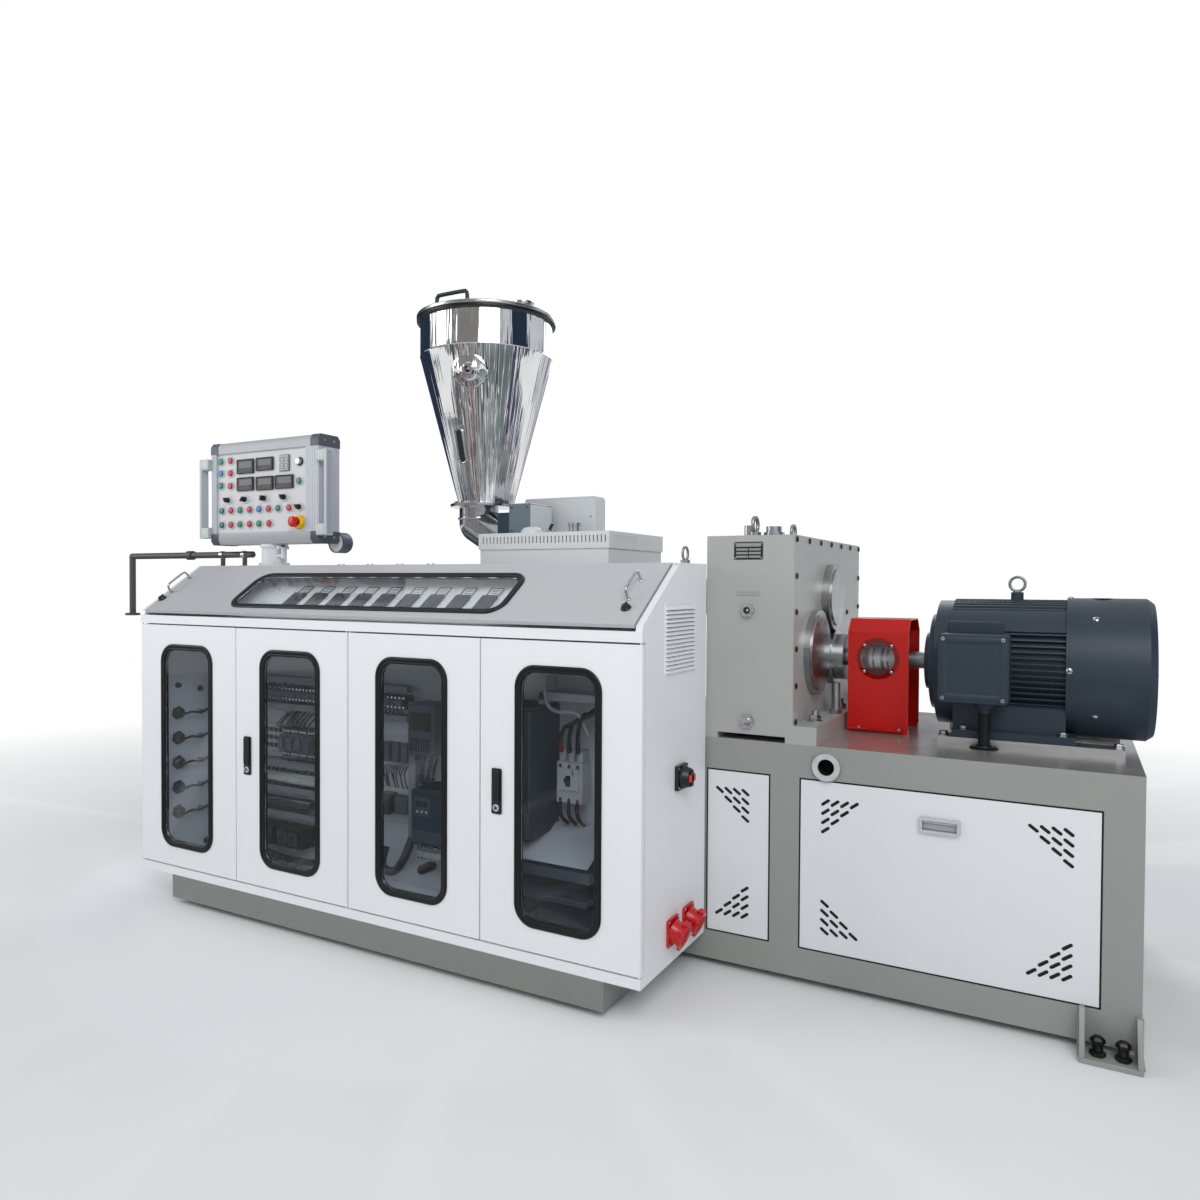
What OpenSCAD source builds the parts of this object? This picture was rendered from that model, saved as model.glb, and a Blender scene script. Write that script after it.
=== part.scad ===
// Plastic extruder: welded base with gearbox and motor, barrel with hopper,
// and a long glazed electrical cabinet in front with a swivelling control box.
// X runs along the machine (motor at +X), Y away from the operator, Z up.

/* [Cabinet] */
// Length of the electrical cabinet
cab_len = 2100; // [1800:10:2600]
// Depth of the cabinet from the door faces to the back
cab_depth = 456; // [420:1:520]
// Height of the cabinet's underside above the floor
cab_z = 107; // [90:1:160]
// Height of the cabinet's flat rear top above the floor
cab_top = 1253; // [1200:1:1400]
// Depth at which the sloped front meets the flat top
slope_depth = 251; // [200:1:300]
// Sheet thickness of the cabinet's walls
sheet = 3; // [2:0.5:5]
// Thickness of the cabinet's double-skinned end walls
end_wall = 20; // [16:1:30]
// Height of the bottom rail under the doors
rail_low_h = 29; // [20:1:40]

/* [Doors] */
// Height of each door
door_h = 888; // [800:1:920]
// Thickness of each door
door_t = 18; // [14:1:24]
// Running gap round each door
door_gap = 5; // [4:0.5:8]
// Outer width of the window seal on each door
win_w = 284; // [240:1:340]
// Outer height of the window seal on each door
win_h = 750; // [600:1:780]
// Corner radius of the window seal's outer edge
win_r = 66; // [40:1:90]
// Width of the rubber window seal's face
seal_w = 22; // [16:1:30]
// How far each window seal stands proud of its panel
seal_proud = 5; // [3:0.5:8]
// Thickness of the glass panes
glass_t = 5; // [4:0.5:8]
// Radius of the door's hinge pins
door_pin_r = 2.5; // [2:0.1:3]

/* [Lid] */
// Thickness of the sloped lid
lid_t = 12; // [10:1:20]
// Distance from the cabinet's left end to the lid window
lid_win_x = 437; // [300:1:600]
// Width of the lid window seal
lid_win_w = 1187; // [900:1:1300]
// Height of the lid window seal, up the slope
lid_win_h = 212; // [160:1:240]
// Corner radius of the lid window seal
lid_win_r = 60; // [40:1:70]

/* [Base] */
// Height of the machine base's deck above the floor
deck_z = 717; // [650:1:800]
// Gap between the base's underside and the floor
ground_gap = 23; // [15:1:40]
// Distance from the door faces to the front of the base
base_y = 470; // [460:1:560]
// Depth of the machine base
base_depth = 890; // [800:1:1000]
// Length by which the motor's cowl hangs over the base's right end
cowl_overhang = 40; // [0:1:100]
// Distance from the cabinet's left end to the plinth
plinth_in_left = 179; // [100:1:300]
// Distance from the cabinet's right end back to the plinth
plinth_in_right = 112; // [80:1:200]
// Width of the small front panel of the base
small_panel_w = 194; // [160:1:200]
// Width of the large front panel of the base
large_panel_w = 773; // [600:1:790]
// Height of the front panels of the base
panel_h = 499; // [400:1:540]
// Height of the panels' lower edges above the floor
panel_z = 116; // [90:1:140]
// Thickness of the base's steel panels
panel_t = 3; // [2:0.5:5]
// Width of each foot bracket
foot_w = 139; // [110:1:170]
// Distance by which a foot bracket stands out from the base
foot_out = 78; // [60:1:100]

/* [Gearbox] */
// Length of the gearbox along the machine
gear_len = 275; // [240:1:320]
// Height of the gearbox's top above the floor
gear_top = 1340; // [1250:1:1450]
// Height of the input shaft above the floor
shaft_z = 948; // [930:1:960]
// Height of the barrel above the floor
barrel_z = 1148; // [1120:1:1180]

/* [Drive] */
// Radius of the motor's fan cowl
motor_r = 207; // [190:1:210]
// Overall length of the motor, without its shaft
motor_len = 618; // [560:1:660]
// Length of the red coupling guard
guard_len = 188; // [160:1:200]
// Width of the red coupling guard
guard_w = 224; // [200:1:260]
// Radius of the drive shafts
shaft_r = 27.5; // [20:0.5:35]

/* [Barrel and hopper] */
// Outer radius of the barrel
barrel_r = 68; // [50:1:70]
// Distance from the cabinet's left end to the hopper's axis
hopper_x = 935; // [800:1:1100]
// Outer radius of the hopper's cylinder
hopper_r = 272; // [240:1:300]
// Height of the hopper's rim above the floor
hopper_top = 2271; // [2150:1:2400]
// Height of the hopper's cylindrical part
hopper_cyl_h = 154; // [100:1:220]
// Height of the hopper's outlet above the floor
outlet_z = 1518; // [1490:1:1560]
// Wall thickness of the hopper
hopper_wall = 3; // [2:0.5:5]

/* [Control box] */
// Width of the control box
box_w = 592; // [500:1:640]
// Height of the control box
box_h = 401; // [350:1:440]
// Depth of the control box
box_d = 105; // [90:1:130]
// Height of the control box's underside above the floor
box_z = 1337; // [1330:1:1380]
// Distance from the cabinet's left end to the post
post_x = 357; // [320:1:420]
// Distance from the door faces to the post
post_y = 316; // [300:1:340]

/* [Hidden] */
$fn = 64;

// Clearance at seats and round pins
fit = 0.3;
// Clearance at which a moving piece passes a fixed one
run_gap = 5;

// Doors
door_count = 4;
door_pitch = cab_len / door_count;
door_z = cab_z + rail_low_h + door_gap;
door_top = door_z + door_h;
// Play behind the doors
door_back = 6;
door_recess = door_t + door_back;
// Distance of the hinge pins from the door's corner
pin_in = 5;
pin_depth = 18;
rail_high_h = 30;
rail_high_z = door_top + door_gap;
lip_z = rail_high_z + rail_high_h;
rail_d = 44;
// Depth to which the seal reaches over the opening's edge
seal_lap = 10;
centre_post_w = 46;

// Lid
lid_lip_y = 4;
lid_lip_z = lip_z + 16;
lid_end_gap = door_gap;
slope_run = slope_depth - lid_lip_y;
slope_rise = cab_top - lid_lip_z;
slope_angle = atan(slope_rise / slope_run);
slope_len = sqrt(slope_run * slope_run + slope_rise * slope_rise);
// The hinge line lies in the middle of the lid's thickness
lid_hinge_y = slope_depth - lid_t / 2;
lid_hinge_z = cab_top - lid_t / 2;
lid_pin_r = 3;
lid_reach = slope_len - lid_t / 2;
lid_win_u = 30;

// Base
base_left = plinth_in_left;
base_back = base_y + base_depth;
panel_margin = 95;
panel_between = 98;
plinth_right = cab_len - plinth_in_right;
plinth_h = cab_z - ground_gap;
centre_y = base_y + base_depth / 2;
panel_gap = 5;
panel_pocket = 24;
ledge_w = 14;
panel_top = panel_z + panel_h;
foot_h = 115;
foot_plate_t = 14;
foot_side_t = 12;
pad_r = 30;
stub_r = 42;
stub_bore_r = 24;
stub_in = 75;
stub_down = 58;
stub_z = deck_z - stub_down;
stub_out = 10;
stub_depth = 60;
pad_in_x = 80;
pad_in_y = 90;

// The board behind the doors and what it carries, in three groups from left to right
plate_y = 330;
plate_low = 112;
plate_h = 888;
// Distance of the instrument tray behind the lid
tray_drop = -52;
tray_in = 48;
tray_back = 8;
// Cable glands on the inside of the left end wall
gland_count = 5;
inner_gland_y = 140;
inner_gland_z = 288;
inner_gland_pitch = 97;
inner_gland_r = 27;
inner_gland_h = 24;
// Left edge of each group of switchgear
group_a = 262;
group_b = 860;
group_c = 1480;
strip_d = 42;
strip_h = 20;
strip_high_z = 802;
strip_mid_z = 706;
strip_low_z = 328;
strip_a_len = 370;
strip_b_len = 190;
relay_z = 740;
relay_h = 48;
relay_d = 62;
comb_z = 423;
comb_h = 32;
card_z = 532;
card_w = 160;
card_h = 105;
card_t = 8;
starter_x = 158;
starter_w = 190;
starter_z = 526;
starter_h = 109;
starter_d = 84;
coil_x = 18;
coil_w = 140;
coil_z = 187;
coil_h = 71;
coil_d = 95;
low_card_z = 333;
low_card_h = 122;
device_x = 65;
device_w = 56;
device_z = 368;
device_h = 73;
device_d = 50;
side_x = 248;
side_w = 112;
side_z = 604;
side_h = 175;
side_d = 105;
inverter_x = 280;
inverter_w = 135;
inverter_z = 315;
inverter_h = 181;
inverter_d = 125;
main_w = 178;
main_z = 404;
main_h = 403;
main_d = 190;
breaker_x = 204;
breaker_w = 90;
breaker_z = 506;
breaker_h = 168;
breaker_d = 85;
meter_count = 9;
meter_in = 158;
meter_up = 105;
meter_pitch = 104;
meter_w = 57;
meter_len = 100;
meter_h = 12;

// Fittings on the cabinet's right end
switch_y = 255;
switch_z = 632;
switch_w = 70;
switch_t = 12;
switch_pin_r = 8;
switch_seat = 4;
grip_base_r = 33;
grip_end_r = 22;
grip_h = 30;
socket_y = 205;
socket_pitch = 114;
socket_z = 199;
socket_w = 76;
socket_h = 80;
socket_t = 8;
socket_r = 32;
socket_len = 50;
socket_tilt = 20;
louvre_y = 153;
louvre_z = 939;
cab_eye_in = 17;
cab_eye_y = 327;

// Gearbox
gear_lap = 4;
gear_x = cab_len - gear_lap;
gear_right = gear_x + gear_len;
gear_depth = base_depth;
flange_z = deck_z + 18;
flange_t = 36;
flange_out = 71;
flange_pad_w = 39;
cover_t = 12;
cap_low_y = 716;
cap_low_z = 974;
cap_low_r = 136;
cap_t = 18;
cap_high_r = 111;
seal_house_r = 76;
seal_house_len = 60;
shaft_stop = 20;
cup_x = 50;
cup_y = 120;

// Drive
guard_off = 86;
guard_x = gear_right + guard_off;
guard_right = guard_x + guard_len;
guard_y = centre_y - guard_w / 2;
guard_foot_h = 11;
guard_z = deck_z + guard_foot_h;
guard_skirt = 18;
guard_win_z = 955;
guard_top = 1081;
guard_bevel = 40;
guard_t = 3;
guard_win_r = 52;
guard_ring_r = 66;
guard_win_x = guard_x + guard_len / 2;
motor_off = 43;
motor_x = guard_right + motor_off;
motor_end = motor_x + motor_len;
base_right = motor_end - cowl_overhang;
large_panel_x = base_right - panel_margin - large_panel_w;
small_panel_x = large_panel_x - panel_between - small_panel_w;
stub_x = large_panel_x + stub_in;
cowl_len = 221;
motor_body_r = motor_r - 22;
fin_h = 16;
rail_h = 20;
motor_foot_z = deck_z + rail_h;
rail_len = 489;
rail_w = 76;
rail_in = 55;
rail_apart = 155;
foot_len = 328;
motor_foot_w = 110;
motor_foot_t = 24;
motor_foot_in = 95;
motor_foot_apart = 137;
flange_shield_r = 150;
bearing_cap_r = 90;
shield_t = 30;
bell_t = 46;
bell_in = 40;
cowl_edge = 18;
cowl_step = 14;
fin_t = 4;
terminal_x = 65;
terminal_w = 190;
terminal_box_h = 198;
terminal_box_d = 96;
terminal_out = 78;
terminal_low = 852;
gland_x = 188;
gland_y = 687;
gland_r = 16;
gland_foot_r = 34;
eye_along = 259;
eye_boss_r = 18;
eye_boss_h = 22;
coupling_r = 34;
coupling_len = 120;
motor_seat = 6;

// Barrel and hopper
heater_r = barrel_r + 22;
barrel_left = -60;
throat_r = 81;
throat_shift = -38;
cone_end_r = 115;
feed_block_w = 210;
// The feed block ends below the hopper's elbow
feed_block_h = 100;
shroud_off = 131;
shroud_len = 573;
shroud_x = hopper_x + shroud_off;
shroud_right = shroud_x + shroud_len;
shroud_half = 232;
shroud_top = 1381;
rim_band_h = 12;
rim_band_out = 14;
// The throat bends towards the feed housing at this height
elbow_z = shroud_top + 58;
elbow_fall = 30;
elbow_end = shroud_x + 50;
port_z = 2017;
port_turn = 20;
port_r = 20;
port_reach = 276;
port_inner = 215;
sight_z = 1739;
sight_w = 46;
sight_h = 146;

// Control box
post_r = 46;
box_x = post_x - 297;
box_front = post_y - 54;
box_back = box_front + box_d;
handle_out = 52;
handle_proud = 16;
// Height of the bars along the top and bottom of the face
bar_h = 43;
face_recess = 8;
pull_out = 12;

// Vent pipe
pipe_r = 13;
pipe_y = 340;
pipe_z = 1300;
pipe_left = -563;
pipe_low = 1040;
pipe_flange_r = 30;
clip_x = [30, 160];

// The part's own origin is under the middle of its outline
latch_proud = 12;
x_low = pipe_left - pipe_flange_r;
x_high = motor_end;
y_low = -latch_proud;
y_high = base_back + foot_out;

module place() {
    translate([-(x_low + x_high) / 2, -(y_low + y_high) / 2, 0]) children();
}

// A profile given as Y and Z points, run along X
module along_x(len) {
    rotate([90, 0, 90]) linear_extrude(len) children();
}

module rounded_rect(w, h, r) {
    translate([r, 0]) square([w - 2 * r, h]);
    translate([0, r]) square([w, h - 2 * r]);
    for (x = [r, w - r], y = [r, h - r]) translate([x, y]) circle(r);
}

// A flat plate standing in X and Z, with its front face at y = 0
module upright(t) {
    translate([0, t, 0]) rotate([90, 0, 0]) linear_extrude(t) children();
}

module rod_x(r, len) {
    rotate([0, 90, 0]) cylinder(r = r, h = len);
}

module rod_y(r, len) {
    rotate([-90, 0, 0]) cylinder(r = r, h = len);
}

module torus(ring_r, wire_r) {
    rotate_extrude() translate([ring_r, 0]) circle(wire_r, $fn = 24);
}

module panel_pocket(x, w) {
    translate([x - panel_gap, -1, panel_z - panel_gap])
        cube([w + 2 * panel_gap, panel_t + 1, panel_h + 2 * panel_gap]);
    translate([x + ledge_w, -1, panel_z + ledge_w])
        cube([w - 2 * ledge_w, panel_pocket + 1, panel_h - 2 * ledge_w]);
}

module base_pockets() {
    panel_pocket(small_panel_x, small_panel_w);
    panel_pocket(large_panel_x, large_panel_w);
}

module base_frame() {
    color("#8f928f") {
        difference() {
            translate([base_left, base_y, ground_gap])
                cube([base_right - base_left, base_depth, deck_z - ground_gap]);
            translate([0, base_y, 0]) base_pockets();
            translate([0, base_back, 0]) mirror([0, 1, 0]) base_pockets();
            translate([stub_x, base_y - 1, stub_z]) rod_y(stub_bore_r, stub_depth + 1);
        }
        translate([stub_x, base_y - stub_out, stub_z]) difference() {
            rod_y(stub_r, stub_out);
            translate([0, -1, 0]) rod_y(stub_bore_r, stub_out + 2);
        }
        translate([base_left, 0, ground_gap]) cube([plinth_right - base_left, base_y, plinth_h]);
        for (x = [base_left + pad_in_x, plinth_right - pad_in_x])
            translate([x, pad_in_y, 0]) cylinder(r = pad_r, h = ground_gap);
    }
}

module foot_bracket() {
    side_h = foot_h - foot_plate_t;
    toe_w = 20;
    heel_h = 12;
    bolt_r = 12;
    head_h = 18;
    bolt_h = 48;
    cube([foot_w, foot_out, foot_plate_t]);
    for (x = [0, foot_w - foot_side_t]) translate([x, 0, foot_plate_t - 1])
        along_x(foot_side_t) polygon([
            [0, 0], [foot_out, 0], [foot_out, side_h], [foot_out - toe_w, side_h], [0, heel_h]
        ]);
    for (x = [foot_w * 0.3, foot_w * 0.7]) translate([x, foot_out * 0.45, foot_plate_t]) {
        cylinder(r = bolt_r, h = bolt_h);
        cylinder(r = bolt_r + 8, h = 12, $fn = 6);
        translate([0, 0, bolt_h - head_h]) cylinder(r = bolt_r + 6, h = head_h, $fn = 6);
    }
}

module foot_brackets() {
    color("#9a9c99") for (x = [base_left, base_right - foot_w]) {
        if (x > base_left) translate([x, base_y - foot_out, 0]) foot_bracket();
        translate([x, base_back + foot_out, 0]) mirror([0, 1, 0]) foot_bracket();
    }
}

// Ten slanted slots in a triangle that fills a panel's corner
module slot_group(flip_x, flip_z) {
    slot_len = 20;
    slot_r = 3.2;
    slant = 37;
    pitch_x = 27.5;
    pitch_z = 27;
    longest = 4;
    for (i = [0:longest - 1], j = [0:longest - 1 - i])
        mirror([flip_x, 0, 0]) mirror([0, 0, flip_z])
            translate([i * pitch_x, -1, j * pitch_z]) rotate([0, slant, 0]) {
                for (end = [-1, 1]) translate([end * slot_len / 2, 0, 0]) rod_y(slot_r, panel_t + 2);
                translate([-slot_len / 2, 0, -slot_r]) cube([slot_len, panel_t + 2, 2 * slot_r]);
            }
}

module steel_panel(w, left_slots) {
    side_inset = 73;
    end_inset = 60;
    difference() {
        cube([w, panel_t, panel_h]);
        translate([w - side_inset, 0, end_inset]) slot_group(1, 0);
        translate([w - side_inset, 0, panel_h - end_inset]) slot_group(1, 1);
        if (left_slots) {
            translate([side_inset, 0, end_inset]) slot_group(0, 0);
            translate([side_inset, 0, panel_h - end_inset]) slot_group(0, 1);
        }
    }
}

module side_panels() {
    color("white") for (side = [0, 1])
        translate([0, side ? base_back : base_y, 0]) mirror([0, side, 0]) {
            translate([small_panel_x, 0, panel_z]) steel_panel(small_panel_w, false);
            translate([large_panel_x, 0, panel_z]) steel_panel(large_panel_w, true);
        }
}

// End wall outline, with the notch that the doors' edges fill
module gable() {
    polygon([
        [0, cab_z], [0, cab_z + rail_low_h], [door_recess, cab_z + rail_low_h],
        [door_recess, rail_high_z], [0, rail_high_z], [0, lip_z], [lid_lip_y, lid_lip_z],
        [slope_depth, cab_top], [cab_depth, cab_top], [cab_depth, cab_z]
    ]);
}

function hinge_x(k) = k == 1 ? 0 : k == 4 ? cab_len : cab_len / 2;
// Direction in which door k reaches from its hinge
function door_dir(k) = (k % 2 == 1) ? 1 : -1;
function pin_x(k) = hinge_x(k) + door_dir(k) * (k == 1 || k == 4 ? pin_in : door_gap / 2 + pin_in);

module louvre() {
    slat_count = 16;
    slat_pitch = 11.9;
    slat_len = 207;
    slat_out = 7;
    slat_h = 9;
    for (i = [0:slat_count - 1]) translate([0, 0, i * slat_pitch])
        rotate([90, 0, 0]) translate([0, 0, -slat_len]) linear_extrude(slat_len)
            polygon([[0, 0], [slat_out, 0], [0, slat_h]]);
}

module cabinet_body() {
    color("#e9eaec") difference() {
        union() {
            for (x = [0, cab_len - end_wall]) translate([x, 0, 0]) along_x(end_wall) gable();
            translate([0, 0, cab_z]) cube([cab_len, cab_depth, sheet]);
            translate([0, 0, cab_z]) cube([cab_len, rail_d, rail_low_h]);
            translate([0, 0, rail_high_z]) cube([cab_len, rail_d, rail_high_h]);
            translate([0, cab_depth - sheet, cab_z]) cube([cab_len, sheet, cab_top - cab_z]);
            translate([0, slope_depth + run_gap, cab_top - sheet])
                cube([cab_len, cab_depth - slope_depth - run_gap, sheet]);
            translate([(cab_len - centre_post_w) / 2, door_recess, cab_z])
                cube([centre_post_w, 60, rail_high_z - cab_z + 1]);
            translate([cab_len, louvre_y, louvre_z]) louvre();
            translate([0, louvre_y, louvre_z]) mirror([1, 0, 0]) louvre();
            for (k = [1:door_count]) translate([pin_x(k), pin_in, 0]) {
                translate([0, 0, door_z - door_gap - 1])
                    cylinder(r = door_pin_r, h = door_gap + pin_depth - 1);
                translate([0, 0, door_top - pin_depth + 2])
                    cylinder(r = door_pin_r, h = pin_depth + door_gap - 1);
            }
        }
        for (x = [end_wall - 16, cab_len - end_wall - 1])
            translate([x, lid_hinge_y, lid_hinge_z]) rod_x(lid_pin_r + fit, 17);
    }
}

module door_outline(w) {
    translate([pin_in, 0]) square([w - pin_in, door_t]);
    translate([0, pin_in]) square([w, door_t - pin_in]);
    translate([pin_in, pin_in]) circle(pin_in, $fn = 32);
}

// Places a child made in door k's own frame: hinge edge at x = 0, face at y = 0
module in_door(k) {
    inner = k == 2 || k == 3 ? door_gap / 2 : 0;
    translate([hinge_x(k) + door_dir(k) * inner, 0, door_z])
        mirror([door_dir(k) == 1 ? 0 : 1, 0, 0]) children();
}

function door_width(k) = k == 2 || k == 3 ? door_pitch - door_gap : door_pitch - door_gap / 2;
function win_x(k) = (door_width(k) - win_w) / 2;

module door(k) {
    color("#eeeff1") in_door(k) difference() {
        linear_extrude(door_h) door_outline(door_width(k));
        translate([win_x(k) + seal_lap, -1, (door_h - win_h) / 2 + seal_lap])
            upright(door_t + 2)
                rounded_rect(win_w - 2 * seal_lap, win_h - 2 * seal_lap, win_r - seal_lap);
        for (z = [-1, door_h - pin_depth]) translate([pin_in, pin_in, z])
            cylinder(r = door_pin_r + fit, h = pin_depth + 1);
    }
}

module seal_ring(w, h, r, depth) {
    difference() {
        union() {
            translate([0, -seal_proud, 0]) upright(seal_proud) rounded_rect(w, h, r);
            translate([seal_lap + fit, -1, seal_lap + fit]) upright(depth + 1)
                rounded_rect(w - 2 * (seal_lap + fit), h - 2 * (seal_lap + fit), r - seal_lap - fit);
        }
        translate([seal_w, -seal_proud - 1, seal_w]) upright(depth + seal_proud + 2)
            rounded_rect(w - 2 * seal_w, h - 2 * seal_w, r - seal_w);
    }
}

module gasket(k) {
    color("#1c1d1f") in_door(k) translate([win_x(k), 0, (door_h - win_h) / 2])
        seal_ring(win_w, win_h, win_r, door_t);
}

module pane(w, h, r) {
    edge = seal_w + fit;
    translate([edge, 0, edge]) upright(glass_t) rounded_rect(w - 2 * edge, h - 2 * edge, r - edge);
}

module glass(k) {
    color([0.3, 0.33, 0.36, 0.5]) in_door(k) translate([win_x(k), 2, (door_h - win_h) / 2])
        pane(win_w, win_h, win_r);
}

module latch(k) {
    latch_w = 35;
    latch_h = 133;
    latch_in = 41;
    latch_up = 380;
    color("#17181a") in_door(k) translate([door_width(k) - latch_in - latch_w, -latch_proud, latch_up])
        upright(latch_proud) rounded_rect(latch_w, latch_h, 5);
}

// Places a child made in the lid's frame: hinge line on X, lid reaching to -Y
module in_lid() {
    translate([0, lid_hinge_y, lid_hinge_z]) rotate([slope_angle, 0, 0]) children();
}

lid_x = end_wall + lid_end_gap;
lid_len = cab_len - 2 * lid_x;

module lid_window_place(z) {
    translate([lid_win_x, -lid_reach + lid_win_u, z]) children();
}

module lid_panel() {
    color("#d9dadc") in_lid() {
        difference() {
            union() {
                translate([lid_x, -lid_reach, -lid_t / 2]) cube([lid_len, lid_reach, lid_t]);
                translate([lid_x, 0, 0]) rod_x(lid_t / 2, lid_len);
            }
            lid_window_place(-lid_t) translate([seal_lap, seal_lap, 0])
                linear_extrude(2 * lid_t)
                    rounded_rect(lid_win_w - 2 * seal_lap, lid_win_h - 2 * seal_lap, lid_win_r - seal_lap);
        }
        for (x = [lid_x - 14, lid_x + lid_len - 1]) translate([x, 0, 0]) rod_x(lid_pin_r, 15);
    }
}

module lid_gasket() {
    lap = seal_lap + fit;
    color("#1c1d1f") in_lid() lid_window_place(0) difference() {
        union() {
            translate([0, 0, lid_t / 2]) linear_extrude(seal_proud)
                rounded_rect(lid_win_w, lid_win_h, lid_win_r);
            translate([lap, lap, -lid_t / 2]) linear_extrude(lid_t + 1)
                rounded_rect(lid_win_w - 2 * lap, lid_win_h - 2 * lap, lid_win_r - lap);
        }
        translate([seal_w, seal_w, -lid_t]) linear_extrude(3 * lid_t)
            rounded_rect(lid_win_w - 2 * seal_w, lid_win_h - 2 * seal_w, lid_win_r - seal_w);
    }
}

module lid_glass() {
    edge = seal_w + fit;
    color([0.3, 0.33, 0.36, 0.5]) in_lid() lid_window_place(lid_t / 2 - glass_t)
        translate([edge, edge, 0]) linear_extrude(glass_t)
            rounded_rect(lid_win_w - 2 * edge, lid_win_h - 2 * edge, lid_win_r - edge);
}

module lid_handles() {
    bow_len = 95;
    bow_h = 34;
    bow_r = 4;
    bow_up = 114;
    bow_in = [50, cab_len - 89];
    lock_in = [44, cab_len - 78];
    lock_r = 15;
    lock_h = 15;
    lock_up = 72;
    color("#c8cacc") in_lid() translate([0, -lid_reach, lid_t / 2]) {
        for (x = bow_in) {
            for (y = [bow_up, bow_up + bow_len]) translate([x, y, 0]) cylinder(r = bow_r, h = bow_h);
            translate([x, bow_up - bow_r, bow_h]) rod_y(bow_r, bow_len + 2 * bow_r);
        }
        for (x = lock_in) translate([x, lock_up, 0]) cylinder(r1 = lock_r, r2 = 6, h = lock_h);
    }
}

module mount_plates() {
    color("#d5d6d4") {
        translate([end_wall, plate_y, plate_low]) cube([cab_len - 2 * end_wall, sheet, plate_h]);
        in_lid() translate([end_wall, -lid_reach + tray_in, tray_drop])
            cube([cab_len - 2 * end_wall, lid_reach - tray_in - tray_back, sheet]);
    }
}

// A device on the board, from its lower left corner
module device(x, z, w, h, d) {
    translate([x, plate_y - d, z]) cube([w, d, h]);
}

module cabinet_gear() {
    color("#26292e") {
        for (i = [0:gland_count - 1])
            translate([end_wall, inner_gland_y, inner_gland_z + i * inner_gland_pitch])
                rod_x(inner_gland_r, inner_gland_h);
        for (z = [strip_high_z, strip_mid_z, strip_low_z]) device(group_a, z, strip_a_len, strip_h, strip_d);
        for (z = [strip_high_z, strip_mid_z]) device(group_b, z, strip_b_len, strip_h, strip_d);
        device(group_a, relay_z, strip_a_len, relay_h, relay_d);
        device(group_b, relay_z, strip_b_len, relay_h, relay_d);
        device(group_a, comb_z, strip_a_len, comb_h, relay_d);
        for (x = [group_a, group_b + device_x - 10]) device(x, card_z, card_w - 10, card_h, card_t);
        device(group_a + starter_x, starter_z, starter_w, starter_h, starter_d);
        device(group_a + coil_x, coil_z, coil_w, coil_h, coil_d);
        device(group_b + device_x - 10, low_card_z, card_w - 10, low_card_h, card_t);
        translate([0, -card_t, 0]) device(group_b + device_x, device_z, device_w, device_h, device_d);
        device(group_b + side_x, side_z, side_w, side_h, side_d);
        device(group_b + inverter_x, inverter_z, inverter_w, inverter_h, inverter_d);
        device(group_c, main_z, main_w, main_h, main_d);
        device(group_c + breaker_x, breaker_z, breaker_w, breaker_h, breaker_d);
        in_lid() for (i = [0:meter_count - 1])
            translate([lid_win_x + meter_in + i * meter_pitch, -lid_reach + meter_up, tray_drop + sheet])
                cube([meter_w, meter_len, meter_h]);
    }
}

module gearbox_housing() {
    color("#9c9e9b") {
        translate([gear_x, base_y, flange_z]) cube([gear_len - cover_t, gear_depth, gear_top - flange_z]);
        translate([gear_right - cover_t, base_y, flange_z]) cube([cover_t, gear_depth, gear_top - flange_z]);
        translate([gear_x, base_y, flange_z]) cube([gear_len + flange_out, gear_depth, flange_t]);
        for (x = [gear_x, gear_right - 23]) translate([x, base_y, deck_z])
            cube([x == gear_x ? flange_pad_w : 23 + flange_out, gear_depth, flange_z - deck_z]);
    }
}

module gearbox_caps() {
    step_w = 16;
    step_t = 5;
    high_cap_t = 26;
    high_cap_shift = 14;
    cup_r = 14;
    cup_h = 100;
    color("#a9abab") {
        translate([gear_right, cap_low_y, cap_low_z]) {
            rod_x(cap_low_r, cap_t);
            rod_x(cap_low_r - step_w, cap_t + step_t);
        }
        translate([gear_right, centre_y - high_cap_shift, barrel_z]) {
            rod_x(cap_high_r, high_cap_t);
            rod_x(cap_high_r - step_w, high_cap_t + step_t);
        }
        translate([gear_right, centre_y, shaft_z]) difference() {
            union() {
                rod_x(seal_house_r, seal_house_len);
                rod_x(seal_house_r + step_w, high_cap_t);
            }
            translate([shaft_stop, 0, 0]) rod_x(shaft_r + fit, seal_house_len);
        }
        // Oil filter cup on the gearbox's foot
        translate([gear_right + cup_x, centre_y - cup_y, flange_z + flange_t]) {
            cylinder(r = cup_r, h = cup_h);
            cylinder(r = cup_r + 6, h = cup_r, $fn = 6);
        }
    }
}

module coupling_guard() {
    inside_w = guard_w - 48;
    color("#c21b17") {
        difference() {
            translate([guard_x, 0, 0]) along_x(guard_len) difference() {
                guard_outline(0);
                guard_outline(guard_t);
            }
            translate([guard_win_x, guard_y - 1, guard_win_z]) rod_y(guard_win_r + fit, guard_t + 2);
        }
        for (y = [guard_y - guard_skirt, guard_y + guard_w - 1]) translate([guard_x + 10, y, guard_z])
            cube([guard_len - 20, guard_skirt + 1, guard_t]);
        translate([guard_x, guard_y, deck_z]) difference() {
            cube([guard_len, guard_w, guard_foot_h + 1]);
            translate([-1, (guard_w - inside_w) / 2, -1]) cube([guard_len + 2, inside_w, guard_z]);
        }
    }
}

module guard_outline(inset) {
    polygon([
        [guard_y + inset, guard_z - inset], [guard_y + inset, guard_top - guard_bevel],
        [guard_y + guard_bevel + inset * 0.4, guard_top - inset],
        [guard_y + guard_w - guard_bevel - inset * 0.4, guard_top - inset],
        [guard_y + guard_w - inset, guard_top - guard_bevel], [guard_y + guard_w - inset, guard_z - inset]
    ]);
}

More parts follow.
